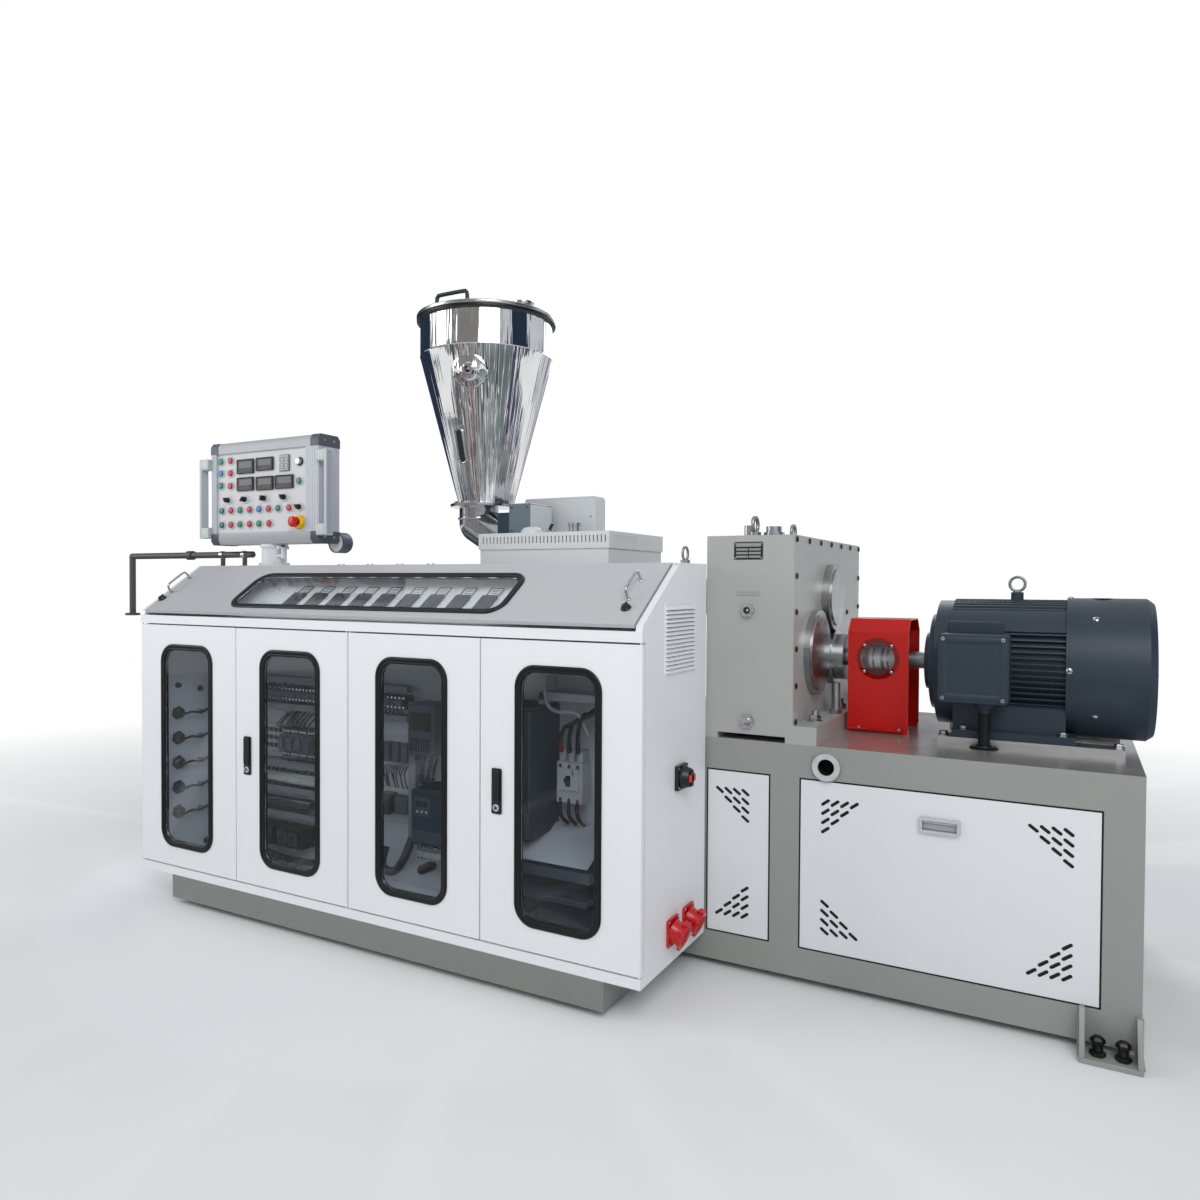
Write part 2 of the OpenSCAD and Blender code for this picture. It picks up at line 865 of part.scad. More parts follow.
module guard_window() {
    ring_t = 4;
    color([0.8, 0.85, 0.9, 0.4]) translate([guard_win_x, guard_y - ring_t, guard_win_z]) {
        rod_y(guard_ring_r, ring_t);
        translate([0, ring_t, 0]) rod_y(guard_win_r, guard_t);
    }
}

module drive_coupling() {
    shaft_start = gear_right + shaft_stop + run_gap;
    half_gap = 2;
    half_len = coupling_len / 2 - half_gap;
    color("#3a3c40") {
        translate([shaft_start, centre_y, shaft_z]) rod_x(shaft_r, motor_x + motor_seat - shaft_start);
        for (x = [guard_x + guard_foot_h * 3, guard_x + guard_foot_h * 3 + coupling_len - half_len])
            translate([x, centre_y, shaft_z]) rod_x(coupling_r, half_len);
    }
}

module motor_frame() {
    fin_pitch = 17;
    fin_half = 7;
    land_w = 84;
    body_x = motor_x + bell_in + bell_t - 2;
    body_len = motor_end - cowl_len - body_x;
    foot_x = motor_x + motor_foot_in;
    web_len = body_x + body_len - foot_x;
    web_out = 166;
    web_w = 60;
    web_h = 100;
    rib_w = 16;
    rib_x = 212;
    top_r = motor_body_r + fin_h;
    color("#333c48") {
        translate([motor_x, centre_y, shaft_z]) difference() {
            union() {
                rod_x(bearing_cap_r, shield_t);
                translate([shield_t - 10, 0, 0]) rod_x(flange_shield_r, shield_t);
                translate([bell_in, 0, 0]) rod_x(top_r - 6, bell_t);
            }
            translate([-1, 0, 0]) rod_x(shaft_r + fit, 2 * motor_seat);
        }
        translate([body_x, centre_y, shaft_z]) along_x(body_len + 1) {
            circle(motor_body_r);
            intersection() {
                circle(top_r);
                union() {
                    for (i = [-fin_half:fin_half], turn = [0, 90]) rotate(turn)
                        translate([-top_r, i * fin_pitch - fin_t / 2]) square([2 * top_r, fin_t]);
                    // Smooth lands between the four fields of fins
                    for (turn = [45, 135]) rotate(turn)
                        translate([-top_r, -land_w / 2]) square([2 * top_r, land_w]);
                }
            }
        }
        translate([motor_end - cowl_len, centre_y, shaft_z]) {
            rod_x(motor_r, cowl_len - cowl_edge);
            translate([cowl_len - cowl_edge, 0, 0]) rotate([0, 90, 0])
                cylinder(r1 = motor_r, r2 = motor_r - cowl_step, h = cowl_edge);
        }
        for (side = [-1, 1]) {
            translate([foot_x, centre_y + side * motor_foot_apart - motor_foot_w / 2, motor_foot_z])
                cube([foot_len, motor_foot_w, motor_foot_t]);
            translate([foot_x, centre_y + side * (web_out - web_w / 2) - web_w / 2, motor_foot_z])
                cube([web_len, web_w, web_h]);
            translate([foot_x + rib_x, centre_y + side * motor_foot_apart - rib_w, motor_foot_z + 1])
                cube([rib_w, 2 * rib_w, web_h]);
        }
        translate([motor_x + terminal_x, centre_y - motor_r - terminal_out, terminal_low])
            upright(terminal_box_d) rounded_rect(terminal_w, terminal_box_h, 12);
        translate([motor_x + eye_along, centre_y, shaft_z]) cylinder(r = eye_boss_r, h = top_r + eye_boss_h);
        translate([motor_x + gland_x, gland_y, deck_z]) {
            cylinder(r = gland_r, h = terminal_low - deck_z + gland_r);
            cylinder(r = gland_foot_r, h = 6);
        }
    }
}

module motor_rails() {
    color("#b9bbbb") for (side = [-1, 1])
        translate([motor_x + rail_in, centre_y + side * rail_apart - rail_w / 2, deck_z])
            cube([rail_len, rail_w, rail_h]);
}

module barrel() {
    flange_grow = 40;
    heater_count = 4;
    heater_w = 150;
    heater_pitch = 175;
    heater_start = 100;
    support_w = 80;
    support_d = 180;
    block_x = hopper_x + throat_shift;
    color("#a7a9ab") {
        translate([shroud_right, centre_y, barrel_z]) rod_x(barrel_r, gear_x - shroud_right);
        for (x = [shroud_right, gear_x - flange_grow])
            translate([x, centre_y, barrel_z]) rod_x(barrel_r + flange_grow, flange_grow);
        translate([barrel_left, centre_y, barrel_z]) {
            rod_x(barrel_r, shroud_x - barrel_left);
            rod_x(barrel_r + flange_grow, flange_grow);
            for (i = [0:heater_count - 1])
                translate([heater_start + i * heater_pitch, 0, 0]) rod_x(heater_r, heater_w);
        }
        translate([block_x - feed_block_w / 2, centre_y - feed_block_w / 2, barrel_z - flange_grow])
            cube([feed_block_w, feed_block_w, feed_block_h]);
        for (x = [base_left + support_w, block_x - support_w])
            translate([x, centre_y - support_d / 2, deck_z])
                cube([support_w, support_d, barrel_z - deck_z - 60]);
    }
}

// Housing round the feed end of the barrel, with a row of slots near its top
module barrel_shroud() {
    slot_count = 34;
    slot_pitch = 16.2;
    slot_depth = 6;
    slot_w = 5;
    slot_h = 26;
    slot_z = shroud_top - slot_h - 14;
    end_slots = 12;
    ledge_z = shroud_top - 62;
    ledge_out = 5;
    color("#e6e7e8") difference() {
        union() {
            translate([shroud_x + ledge_out, centre_y - shroud_half + ledge_out, deck_z])
                cube([shroud_len - 2 * ledge_out, 2 * (shroud_half - ledge_out), ledge_z - deck_z + 1]);
            translate([shroud_x, centre_y - shroud_half, ledge_z])
                cube([shroud_right - shroud_x, 2 * shroud_half, shroud_top - ledge_z]);
        }
        for (i = [0:slot_count - 1], y = [-shroud_half - 1, shroud_half - slot_depth])
            translate([shroud_x + 20 + i * slot_pitch, centre_y + y, slot_z])
                cube([slot_w, slot_depth + 1, slot_h]);
        for (i = [0:end_slots - 1])
            translate([shroud_right - slot_depth, centre_y - shroud_half + 40 + i * slot_pitch, slot_z])
                cube([slot_depth + 1, slot_w, slot_h]);
    }
}

module die_head() {
    adapter_len = 50;
    die_len = 125;
    die_r = 60;
    color("#b08d57") translate([barrel_left, centre_y, barrel_z]) {
        translate([-adapter_len, 0, 0]) rod_x(barrel_r + 40, adapter_len);
        translate([-adapter_len - die_len + 5, 0, 0]) rod_x(die_r, die_len);
    }
}

module hopper_shell() {
    cyl_z = hopper_top - hopper_cyl_h;
    throat_x = hopper_x + throat_shift;
    collar_h = 12;
    color("#c9cbcd") {
        translate([hopper_x, centre_y, 0]) rotate_extrude($fn = 128) difference() {
            polygon([
                [0, outlet_z], [cone_end_r, outlet_z], [hopper_r, cyl_z],
                [hopper_r, hopper_top], [0, hopper_top]
            ]);
            polygon([
                [-1, outlet_z + hopper_wall], [cone_end_r - hopper_wall, outlet_z + hopper_wall],
                [hopper_r - hopper_wall, cyl_z], [hopper_r - hopper_wall, hopper_top + 1], [-1, hopper_top + 1]
            ]);
        }
        translate([throat_x + 19, centre_y, outlet_z - collar_h]) cylinder(r = cone_end_r + 18, h = collar_h);
        // Throat, bent down into the near corner of the feed housing
        difference() {
            translate([throat_x, centre_y, elbow_z]) {
                cylinder(r = throat_r, h = outlet_z - collar_h - elbow_z);
                sphere(throat_r);
                rotate([0, 90 + elbow_fall, 0])
                    cylinder(r = throat_r, h = (elbow_end - throat_x) / cos(elbow_fall) + throat_r);
            }
            translate([shroud_x, centre_y - shroud_half, deck_z])
                cube([shroud_len, 2 * shroud_half, shroud_top - deck_z]);
            translate([elbow_end, centre_y - shroud_half, deck_z])
                cube([shroud_len, 2 * shroud_half, outlet_z - deck_z]);
        }
        // Level sensor's port, a little to the right of the near side
        translate([hopper_x, centre_y, port_z]) rotate([0, 0, port_turn]) translate([0, -port_reach, 0])
            difference() {
                rod_y(port_r, port_reach - port_inner);
                translate([0, -1, 0]) rod_y(port_r - 8, 31);
            }
        // Frame of the sight glass
        sight_on_cone() translate([-sight_w / 2, 0, -sight_h / 2]) difference() {
            rounded_slot(sight_w, sight_h, 10);
            translate([9, -1, 9]) rounded_slot(sight_w - 18, sight_h - 18, 6);
        }
    }
}

// An upright slot with round ends, with its face at y = 0
module rounded_slot(w, h, t) {
    upright(t) rounded_rect(w, h, w / 2 - 0.1);
}

// Places a child on the cone's near side, tilted with its wall
module sight_on_cone() {
    cyl_z = hopper_top - hopper_cyl_h;
    wall_lean = atan((hopper_r - cone_end_r) / (cyl_z - outlet_z));
    wall_r = cone_end_r + (sight_z - outlet_z) * tan(wall_lean);
    translate([hopper_x, centre_y - wall_r - 4, sight_z]) rotate([wall_lean, 0, 0]) children();
}

module hopper_lid() {
    plate_t = 14;
    dome_h = 16;
    dome_r = 120;
    bow_x = -30;
    bow_y = -195;
    bow_len = 150;
    bow_h = 60;
    bow_r = 8;
    stub_x = 151;
    stub_y = 45;
    stub_r = 40;
    stub_h = 62;
    color("#2a2b2d") translate([hopper_x, centre_y, hopper_top]) {
        translate([0, 0, -rim_band_h]) difference() {
            cylinder(r = hopper_r + rim_band_out, h = rim_band_h, $fn = 128);
            translate([0, 0, -1]) cylinder(r = hopper_r + fit, h = rim_band_h + 2, $fn = 128);
        }
        cylinder(r = hopper_r + rim_band_out, h = plate_t, $fn = 128);
        translate([0, 0, plate_t]) cylinder(r1 = hopper_r, r2 = dome_r, h = dome_h, $fn = 128);
        // Bow handle near the rim, and the capped stub of the loader
        translate([bow_x - bow_len / 2, bow_y, plate_t]) {
            for (x = [0, bow_len]) translate([x, 0, 0]) cylinder(r = bow_r, h = bow_h);
            translate([0, 0, bow_h]) rod_x(bow_r, bow_len);
            for (x = [0, bow_len]) translate([x, 0, bow_h]) sphere(bow_r);
        }
        translate([stub_x, stub_y, plate_t]) {
            cylinder(r = stub_r, h = stub_h);
            translate([0, 0, stub_h - 14]) cylinder(r = stub_r + 8, h = 14);
        }
    }
}

module feed_motor() {
    front_y = 800;
    flange_x = 6;
    flange_w = 57;
    flange_d = 44;
    flange_h = 90;
    block_x = 61;
    block_w = 100;
    block_d = 163;
    block_h = 124;
    dome_x = 196;
    dome_y = 760;
    dome_r = 44;
    chest_x = 4;
    chest_y = 1000;
    chest_w = 337;
    chest_d = 90;
    chest_h = 162;
    cup_x = 264;
    cup_w = 70;
    cup_h = 48;
    color("#6e7c86") translate([shroud_x, 0, shroud_top]) {
        translate([flange_x, front_y, 0]) cube([flange_w, flange_d, flange_h]);
        translate([block_x, front_y, 0]) cube([block_w, block_d, block_h]);
        translate([dome_x, dome_y, 0]) cylinder(r1 = dome_r, r2 = dome_r - 16, h = 26);
        translate([chest_x, chest_y, 0]) cube([chest_w, chest_d, chest_h]);
        translate([cup_x, front_y + 80, 0]) cube([cup_w, 60, cup_h]);
    }
}

module panel_post() {
    flange_w = 12;
    collar_h = 14;
    knob_x = post_x + 70;
    color("#d0d2d4") {
        translate([post_x, post_y, cab_top]) cylinder(r = post_r, h = box_z - cab_top - fit);
        translate([post_x, post_y, cab_top]) cylinder(r = post_r + flange_w, h = 8);
        translate([post_x, post_y, box_z - fit - collar_h]) cylinder(r = post_r + 5, h = collar_h);
        // Clamp screw with its cross handle
        translate([post_x, post_y - 20, box_z - 46]) rod_x(6, knob_x - post_x);
        translate([knob_x, post_y - 20, box_z - 56]) cylinder(r = 7, h = 44);
        translate([knob_x, post_y - 45, box_z - 15]) rod_y(6, 50);
    }
}

// Outline of the box's depth, with its long edges bevelled
module box_profile(grow) {
    bevel_y = 10;
    bevel_z = 14;
    polygon([
        [-grow, bevel_z], [bevel_y, -grow], [box_d - bevel_y, -grow], [box_d + grow, bevel_z],
        [box_d + grow, box_h - bevel_z], [box_d - bevel_y, box_h + grow], [bevel_y, box_h + grow],
        [-grow, box_h - bevel_z]
    ]);
}

module box_handle() {
    bracket_h = 43;
    span = 315;
    depth = 36;
    grip_t = 12;
    for (z = [0, span - bracket_h]) translate([-1, 0, z]) cube([handle_out + 1, depth, bracket_h]);
    translate([handle_out - grip_t, 0, 0]) cube([grip_t, depth, span]);
}

module control_box() {
    cap_w = 42;
    handle_z = 26;
    cap_grow = 1.5;
    groove_d = 5;
    color("#c3c7ca") translate([box_x, box_front, box_z]) {
        difference() {
            union() {
                translate([2, 0, 0]) along_x(box_w - 4) box_profile(0);
                for (x = [0, box_w - cap_w], z = [0, 1]) translate([x, 0, 0]) intersection() {
                    along_x(cap_w) box_profile(cap_grow);
                    translate([0, -5, z ? box_h - bar_h : -5]) cube([cap_w, box_d + 10, bar_h + 5]);
                }
            }
            // Face set back between the top and bottom bars
            translate([cap_w - 8, -5, bar_h])
                cube([box_w - 2 * cap_w + 16, 5 + face_recess, box_h - 2 * bar_h]);
            for (x = [-1, box_w - groove_d + 1], y = [48, 72])
                translate([x, y, bar_h + 6]) cube([groove_d, 14, box_h - 2 * bar_h - 12]);
        }
        translate([box_w - 2, -handle_proud, handle_z]) box_handle();
        translate([2, -handle_proud, handle_z]) mirror([1, 0, 0]) box_handle();
        // Round sounder at the back's lower right corner
        translate([box_w - 18, box_d, 4]) rod_y(39, 52);
    }
}

module vent_pipe() {
    pipe_len = 771;
    union_x = -186;
    union_len = 30;
    clip_r = 9;
    color("#4a4240") {
        translate([pipe_left, pipe_y, pipe_z]) rod_x(pipe_r, pipe_len);
        translate([pipe_left, pipe_y, pipe_low]) cylinder(r = pipe_r, h = pipe_z - pipe_low);
        translate([pipe_left, pipe_y, pipe_z]) sphere(pipe_r);
        translate([pipe_left, pipe_y, pipe_low]) cylinder(r = pipe_flange_r, h = 10);
        translate([union_x, pipe_y, pipe_z]) rod_x(pipe_r + 6, union_len);
        for (x = clip_x) translate([x, pipe_y, cab_top]) cylinder(r = clip_r, h = pipe_z - cab_top);
    }
}

module bright_fittings() {
    gear_mid = gear_x + 135;
    color("#d4d6d8") {
        // Sight glass, drain plug and filler on the gearbox
        translate([gear_mid, base_y, 1112]) rotate([90, 0, 0]) cylinder(r = 21, h = 14, $fn = 6);
        translate([gear_mid, base_y, 775]) rotate([90, 0, 0]) cylinder(r = 23, h = 12, $fn = 6);
        translate([gear_x + 186, base_y + 88, gear_top]) {
            cylinder(r = 32, h = 12);
            cylinder(r = 24, h = 30);
        }
        translate([gear_x + 110, base_y + 70, gear_top]) cylinder(r = 13, h = 34);
        // Pull on the large panel
        translate([large_panel_x + 335, base_y - pull_out, panel_z + 393]) upright(pull_out) difference() {
            rounded_rect(104, 40, 6);
            translate([8, 8]) square([88, 24]);
        }
    }
}

module lifting_eye(foot_r, foot_h, ring_r, wire_r) {
    cylinder(r = foot_r, h = foot_h);
    translate([0, 0, foot_h + ring_r - 2]) rotate([0, 90, 0]) torus(ring_r, wire_r);
}

module lifting_eyes() {
    gear_eye_in = 52;
    gear_eye_pitch = 418;
    color("#a8aaac") {
        translate([cab_len - cab_eye_in, cab_eye_y, cab_top]) lifting_eye(14, 10, 20, 4);
        for (y = [gear_eye_in, gear_eye_in + gear_eye_pitch])
            translate([gear_x + gear_len / 2, base_y + y, gear_top]) lifting_eye(18, 12, 24, 6);
        translate([motor_x + eye_along, centre_y, shaft_z + motor_body_r + fin_h + eye_boss_h])
            rotate([0, 0, 90]) lifting_eye(12, 6, 21.5, 4.5);
    }
}

module switch_plate() {
    color("#1d1e20") translate([cab_len, switch_y, switch_z]) difference() {
        translate([0, -switch_w / 2, -switch_w / 2]) cube([switch_t, switch_w, switch_w]);
        translate([switch_seat, 0, 0]) rod_x(switch_pin_r + fit, switch_t);
    }
}

module switch_knob() {
    grip_x = switch_t - switch_seat;
    color("#b3201c") translate([cab_len + switch_seat + fit, switch_y, switch_z]) {
        rod_x(switch_pin_r, grip_x + 1);
        translate([grip_x, 0, 0]) rotate([0, 90, 0]) cylinder(r1 = grip_base_r, r2 = grip_end_r, h = grip_h);
    }
}

module power_sockets() {
    color("#b5121b") for (i = [0, 1]) translate([cab_len, socket_y + i * socket_pitch, socket_z]) {
        translate([0, -socket_w / 2, -socket_h / 2]) cube([socket_t, socket_w, socket_h]);
        difference() {
            translate([0, 0, 4]) rotate([0, -socket_tilt, 0]) rod_x(socket_r, socket_len);
            translate([-socket_w, -socket_w, -socket_h]) cube([socket_w, 2 * socket_w, 2 * socket_h]);
        }
    }
}

place() base_frame();
place() foot_brackets();
place() side_panels();
place() bright_fittings();
place() cabinet_body();
place() mount_plates();
place() cabinet_gear();
place() switch_plate();
place() power_sockets();
place() lifting_eyes();
place() gearbox_housing();
place() gearbox_caps();
place() coupling_guard();
place() guard_window();
place() motor_frame();
place() motor_rails();
place() barrel();
place() barrel_shroud();
place() die_head();
place() hopper_shell();
place() hopper_lid();
place() feed_motor();
place() panel_post();
place() vent_pipe();
place() door(1);  // door_1
place() door(2);  // door_2
place() door(3);  // door_3
place() door(4);  // door_4
place() glass(1);  // glass_1
place() glass(2);  // glass_2
place() glass(3);  // glass_3
place() glass(4);  // glass_4
place() gasket(1);  // gasket_1
place() gasket(2);  // gasket_2
place() gasket(3);  // gasket_3
place() gasket(4);  // gasket_4
place() latch(2);  // latch_2
place() latch(4);  // latch_4
place() lid_panel();
place() lid_glass();
place() lid_gasket();
place() lid_handles();
place() control_box();
place() switch_knob();
place() drive_coupling();
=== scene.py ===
"""Fine parts, finishes and studio of a floor-standing plastic extruder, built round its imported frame."""
import functools
import math

import bmesh
import bpy
from bpy.props import BoolProperty, FloatProperty, FloatVectorProperty, IntProperty, PointerProperty
from bpy.types import Operator, Panel, PropertyGroup
from mathutils import Matrix, Vector


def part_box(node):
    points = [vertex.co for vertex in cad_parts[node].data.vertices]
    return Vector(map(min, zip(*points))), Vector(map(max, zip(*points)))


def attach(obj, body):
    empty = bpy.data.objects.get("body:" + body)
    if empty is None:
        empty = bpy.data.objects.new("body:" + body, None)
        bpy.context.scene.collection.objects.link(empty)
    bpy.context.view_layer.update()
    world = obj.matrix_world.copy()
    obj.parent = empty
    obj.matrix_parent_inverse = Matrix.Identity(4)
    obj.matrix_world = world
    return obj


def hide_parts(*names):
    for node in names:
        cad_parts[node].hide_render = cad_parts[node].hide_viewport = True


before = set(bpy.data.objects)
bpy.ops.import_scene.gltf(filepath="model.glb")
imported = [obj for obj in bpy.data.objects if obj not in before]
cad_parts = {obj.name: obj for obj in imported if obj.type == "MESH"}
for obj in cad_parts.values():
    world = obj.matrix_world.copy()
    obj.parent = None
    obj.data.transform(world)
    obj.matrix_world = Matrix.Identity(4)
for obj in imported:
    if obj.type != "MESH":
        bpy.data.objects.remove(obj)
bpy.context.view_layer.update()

bl_info = {
    "name": "Plastic Extruder",
    "version": (1, 0, 0),
    "blender": (4, 5, 0),
    "location": "View3D > Sidebar > Extruder",
    "description": "Dresses the frame of a plastic extruder with its fine parts, finishes and studio",
    "category": "Object",
}

# Machine places are in millimetres: X from the cabinet's left end, Y back from its door faces, Z up
MM = 0.001
CABINET_LENGTH = 2100
CABINET_TOP = 1253
DECK_HEIGHT = 717
BASE_FRONT = 470
PLINTH_BACK = 380
GEARBOX_LEFT = 2096
GEARBOX_RIGHT = 2371
SHAFT_Y = 915
SHAFT_Z = 948
BARREL_Z = 1148

low_corner, high_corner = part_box("cabinet_body")
ORIGIN = Vector(((low_corner.x + high_corner.x) / 2 - CABINET_LENGTH / 2 * MM, low_corner.y, 0))


def span(node):
    """A CAD node's lowest and highest corners, in machine millimetres."""
    low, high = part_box(node)
    return (low - ORIGIN) / MM, (high - ORIGIN) / MM


def tint(code):
    """A colour as a shader takes it, from its six-figure screen code."""
    shares = [int(code[i:i + 2], 16) / 255 for i in (0, 2, 4)]
    linear = [s / 12.92 if s <= 0.04045 else ((s + 0.055) / 1.055) ** 2.4 for s in shares]
    return (*linear, 1.0)


# Settings

def length(name, description, default):
    return FloatProperty(name=name, description=description, default=default, min=0.1)


def colour(name, description, code):
    return FloatVectorProperty(
        name=name, description=description, default=tint(code), size=4, subtype="COLOR", min=0, max=1)


def amount(name, description, default):
    return FloatProperty(name=name, description=description, default=default, min=0)


def bearing(name, description, degrees):
    return FloatProperty(
        name=name, description=description, default=math.radians(degrees), subtype="ANGLE", unit="ROTATION")


class ExtruderSizes(PropertyGroup):
    seal_width: length("Seal width", "Width of the window seals in millimetres", 22)
    button_radius: length("Button radius", "Bezel radius of the push buttons in millimetres", 17)
    screw_radius: length("Screw radius", "Head radius of the cover screws in millimetres", 7)
    wire_radius: length("Wire radius", "Radius of the single wires in millimetres", 2.2)
    bolt_width: length("Bolt size", "Thread size of the gearbox bolts in millimetres", 18)
    hopper_sides: IntProperty(
        name="Hopper sides", description="Flats round the hopper's wall", default=192, min=48, max=512)


class ExtruderColours(PropertyGroup):
    cabinet: colour("Cabinet", "Powder coat of the cabinet, doors and side panels", "e6e8eb")
    lid: colour("Lid", "Satin paint of the sloped lid", "bcbcbf")
    base: colour("Base", "Paint of the welded base", "959894")
    gearbox: colour("Gearbox", "Paint of the gearbox", "a6a8a5")
    guard: colour("Guard", "Gloss paint of the coupling guard", "bf150d")
    motor: colour("Motor", "Paint of the motor", "2c3844")
    # The feeder colour is the feed drive's shaded front: painted shade
    feeder: colour("Feeder", "Paint of the feed motor", "63747c")
    shroud: colour("Shroud", "Paint of the housing round the barrel", "d9dcdd")
    face: colour("Control face", "Anodised face of the control box", "c6c7ca")
    green: colour("Green", "Start buttons and the green lamp", "0a6b59")
    red: colour("Red", "Stop buttons", "a51230")
    yellow: colour("Yellow", "Collar of the emergency stop", "f2c510")


class ExtruderStudio(PropertyGroup):
    eye: FloatVectorProperty(
        name="Camera", description="Where the camera stands", default=(1.7422, -2.7966, 1.1911),
        subtype="TRANSLATION", unit="LENGTH")
    yaw: bearing("Yaw", "Turn to the left of straight back", 28.396)
    pitch: bearing("Pitch", "Tilt upwards", -1.079)
    roll: bearing("Roll", "Turn about the line of sight", 0.308)
    lens: FloatProperty(name="Lens", description="Focal length in millimetres", default=26.25, min=1)
    world: amount("World light", "Strength of the even light", 0.5)
    key: amount("Key light", "Power of the main lamp in watts", 145)
    fill: amount("Fill light", "Power of the other two lamps in watts each", 88)
    cards: BoolProperty(
        name="Reflection cards", description="Tinted cards that only polished steel shows", default=True)


# Mesh making

AXES = {
    "front": ((1, 0, 0), (0, 0, 1)),
    "right": ((0, 1, 0), (0, 0, 1)),
    "back": ((-1, 0, 0), (0, 0, 1)),
    "left": ((0, -1, 0), (0, 0, 1)),
}


def facing(side, x, y, z, turn=0.0):
    """A place whose own Z points out of that side of the machine."""
    across, up = (Vector(axis) for axis in AXES[side])
    place = Matrix((across, up, across.cross(up))).transposed().to_4x4()
    place.translation = (x, y, z)
    return place @ Matrix.Rotation(math.radians(turn), 4, "Z")


def front_at(x, y, z):
    return facing("front", x, y, z)


def right_at(x, y, z):
    return facing("right", x, y, z)


def at(x, y, z):
    return Matrix.Translation((x, y, z))


def ring_of(count, radius, start=0.0):
    """Spots spaced evenly on a circle, from the bearing of the first in degrees."""
    turns = [math.radians(start + 360 / count * i) for i in range(count)]
    return [(radius * math.cos(turn), radius * math.sin(turn)) for turn in turns]


def corners_of(across, up):
    """The corners of a rectangle about its middle, from half its width and height."""
    return [(x, y) for x in (-across, across) for y in (-up, up)]


def placed(name, data):
    """A new object in the scene."""
    made = bpy.data.objects.new(name, data)
    bpy.context.scene.collection.objects.link(made)
    return made


def mesh_data(name, mesh):
    """Mesh data from a mesh under way, which is freed."""
    data = bpy.data.meshes.new(name)
    mesh.to_mesh(data)
    mesh.free()
    return data


def shifted(place, x, y, z=0.0, turn=0.0):
    """A place moved within its own axes."""
    return place @ at(x, y, z) @ Matrix.Rotation(math.radians(turn), 4, "Z")


def lifted(place, height):
    return shifted(place, 0, 0, height)


def aimed(point, direction):
    """A place at a point whose own Z runs along a direction."""
    place = Vector(direction).to_track_quat("Z", "Y").to_matrix().to_4x4()
    place.translation = point
    return place


def circle(radius, sides, height, start=0.0):
    angles = [start + 2 * math.pi * i / sides for i in range(sides)]
    return [Vector((radius * math.cos(a), radius * math.sin(a), height)) for a in angles]


def rounded(width, height, radius, level, steps=6):
    """A rectangle with round corners, centred on its place."""
    radius = max(min(radius, width / 2 - 0.01, height / 2 - 0.01), 0.01)
    points = []
    for corner, (side, end) in enumerate([(1, 1), (-1, 1), (-1, -1), (1, -1)]):
        centre = Vector((side * (width / 2 - radius), end * (height / 2 - radius), level))
        for step in range(steps + 1):
            angle = math.pi / 2 * (corner + step / steps)
            points.append(centre + Vector((radius * math.cos(angle), radius * math.sin(angle), 0)))
    return points


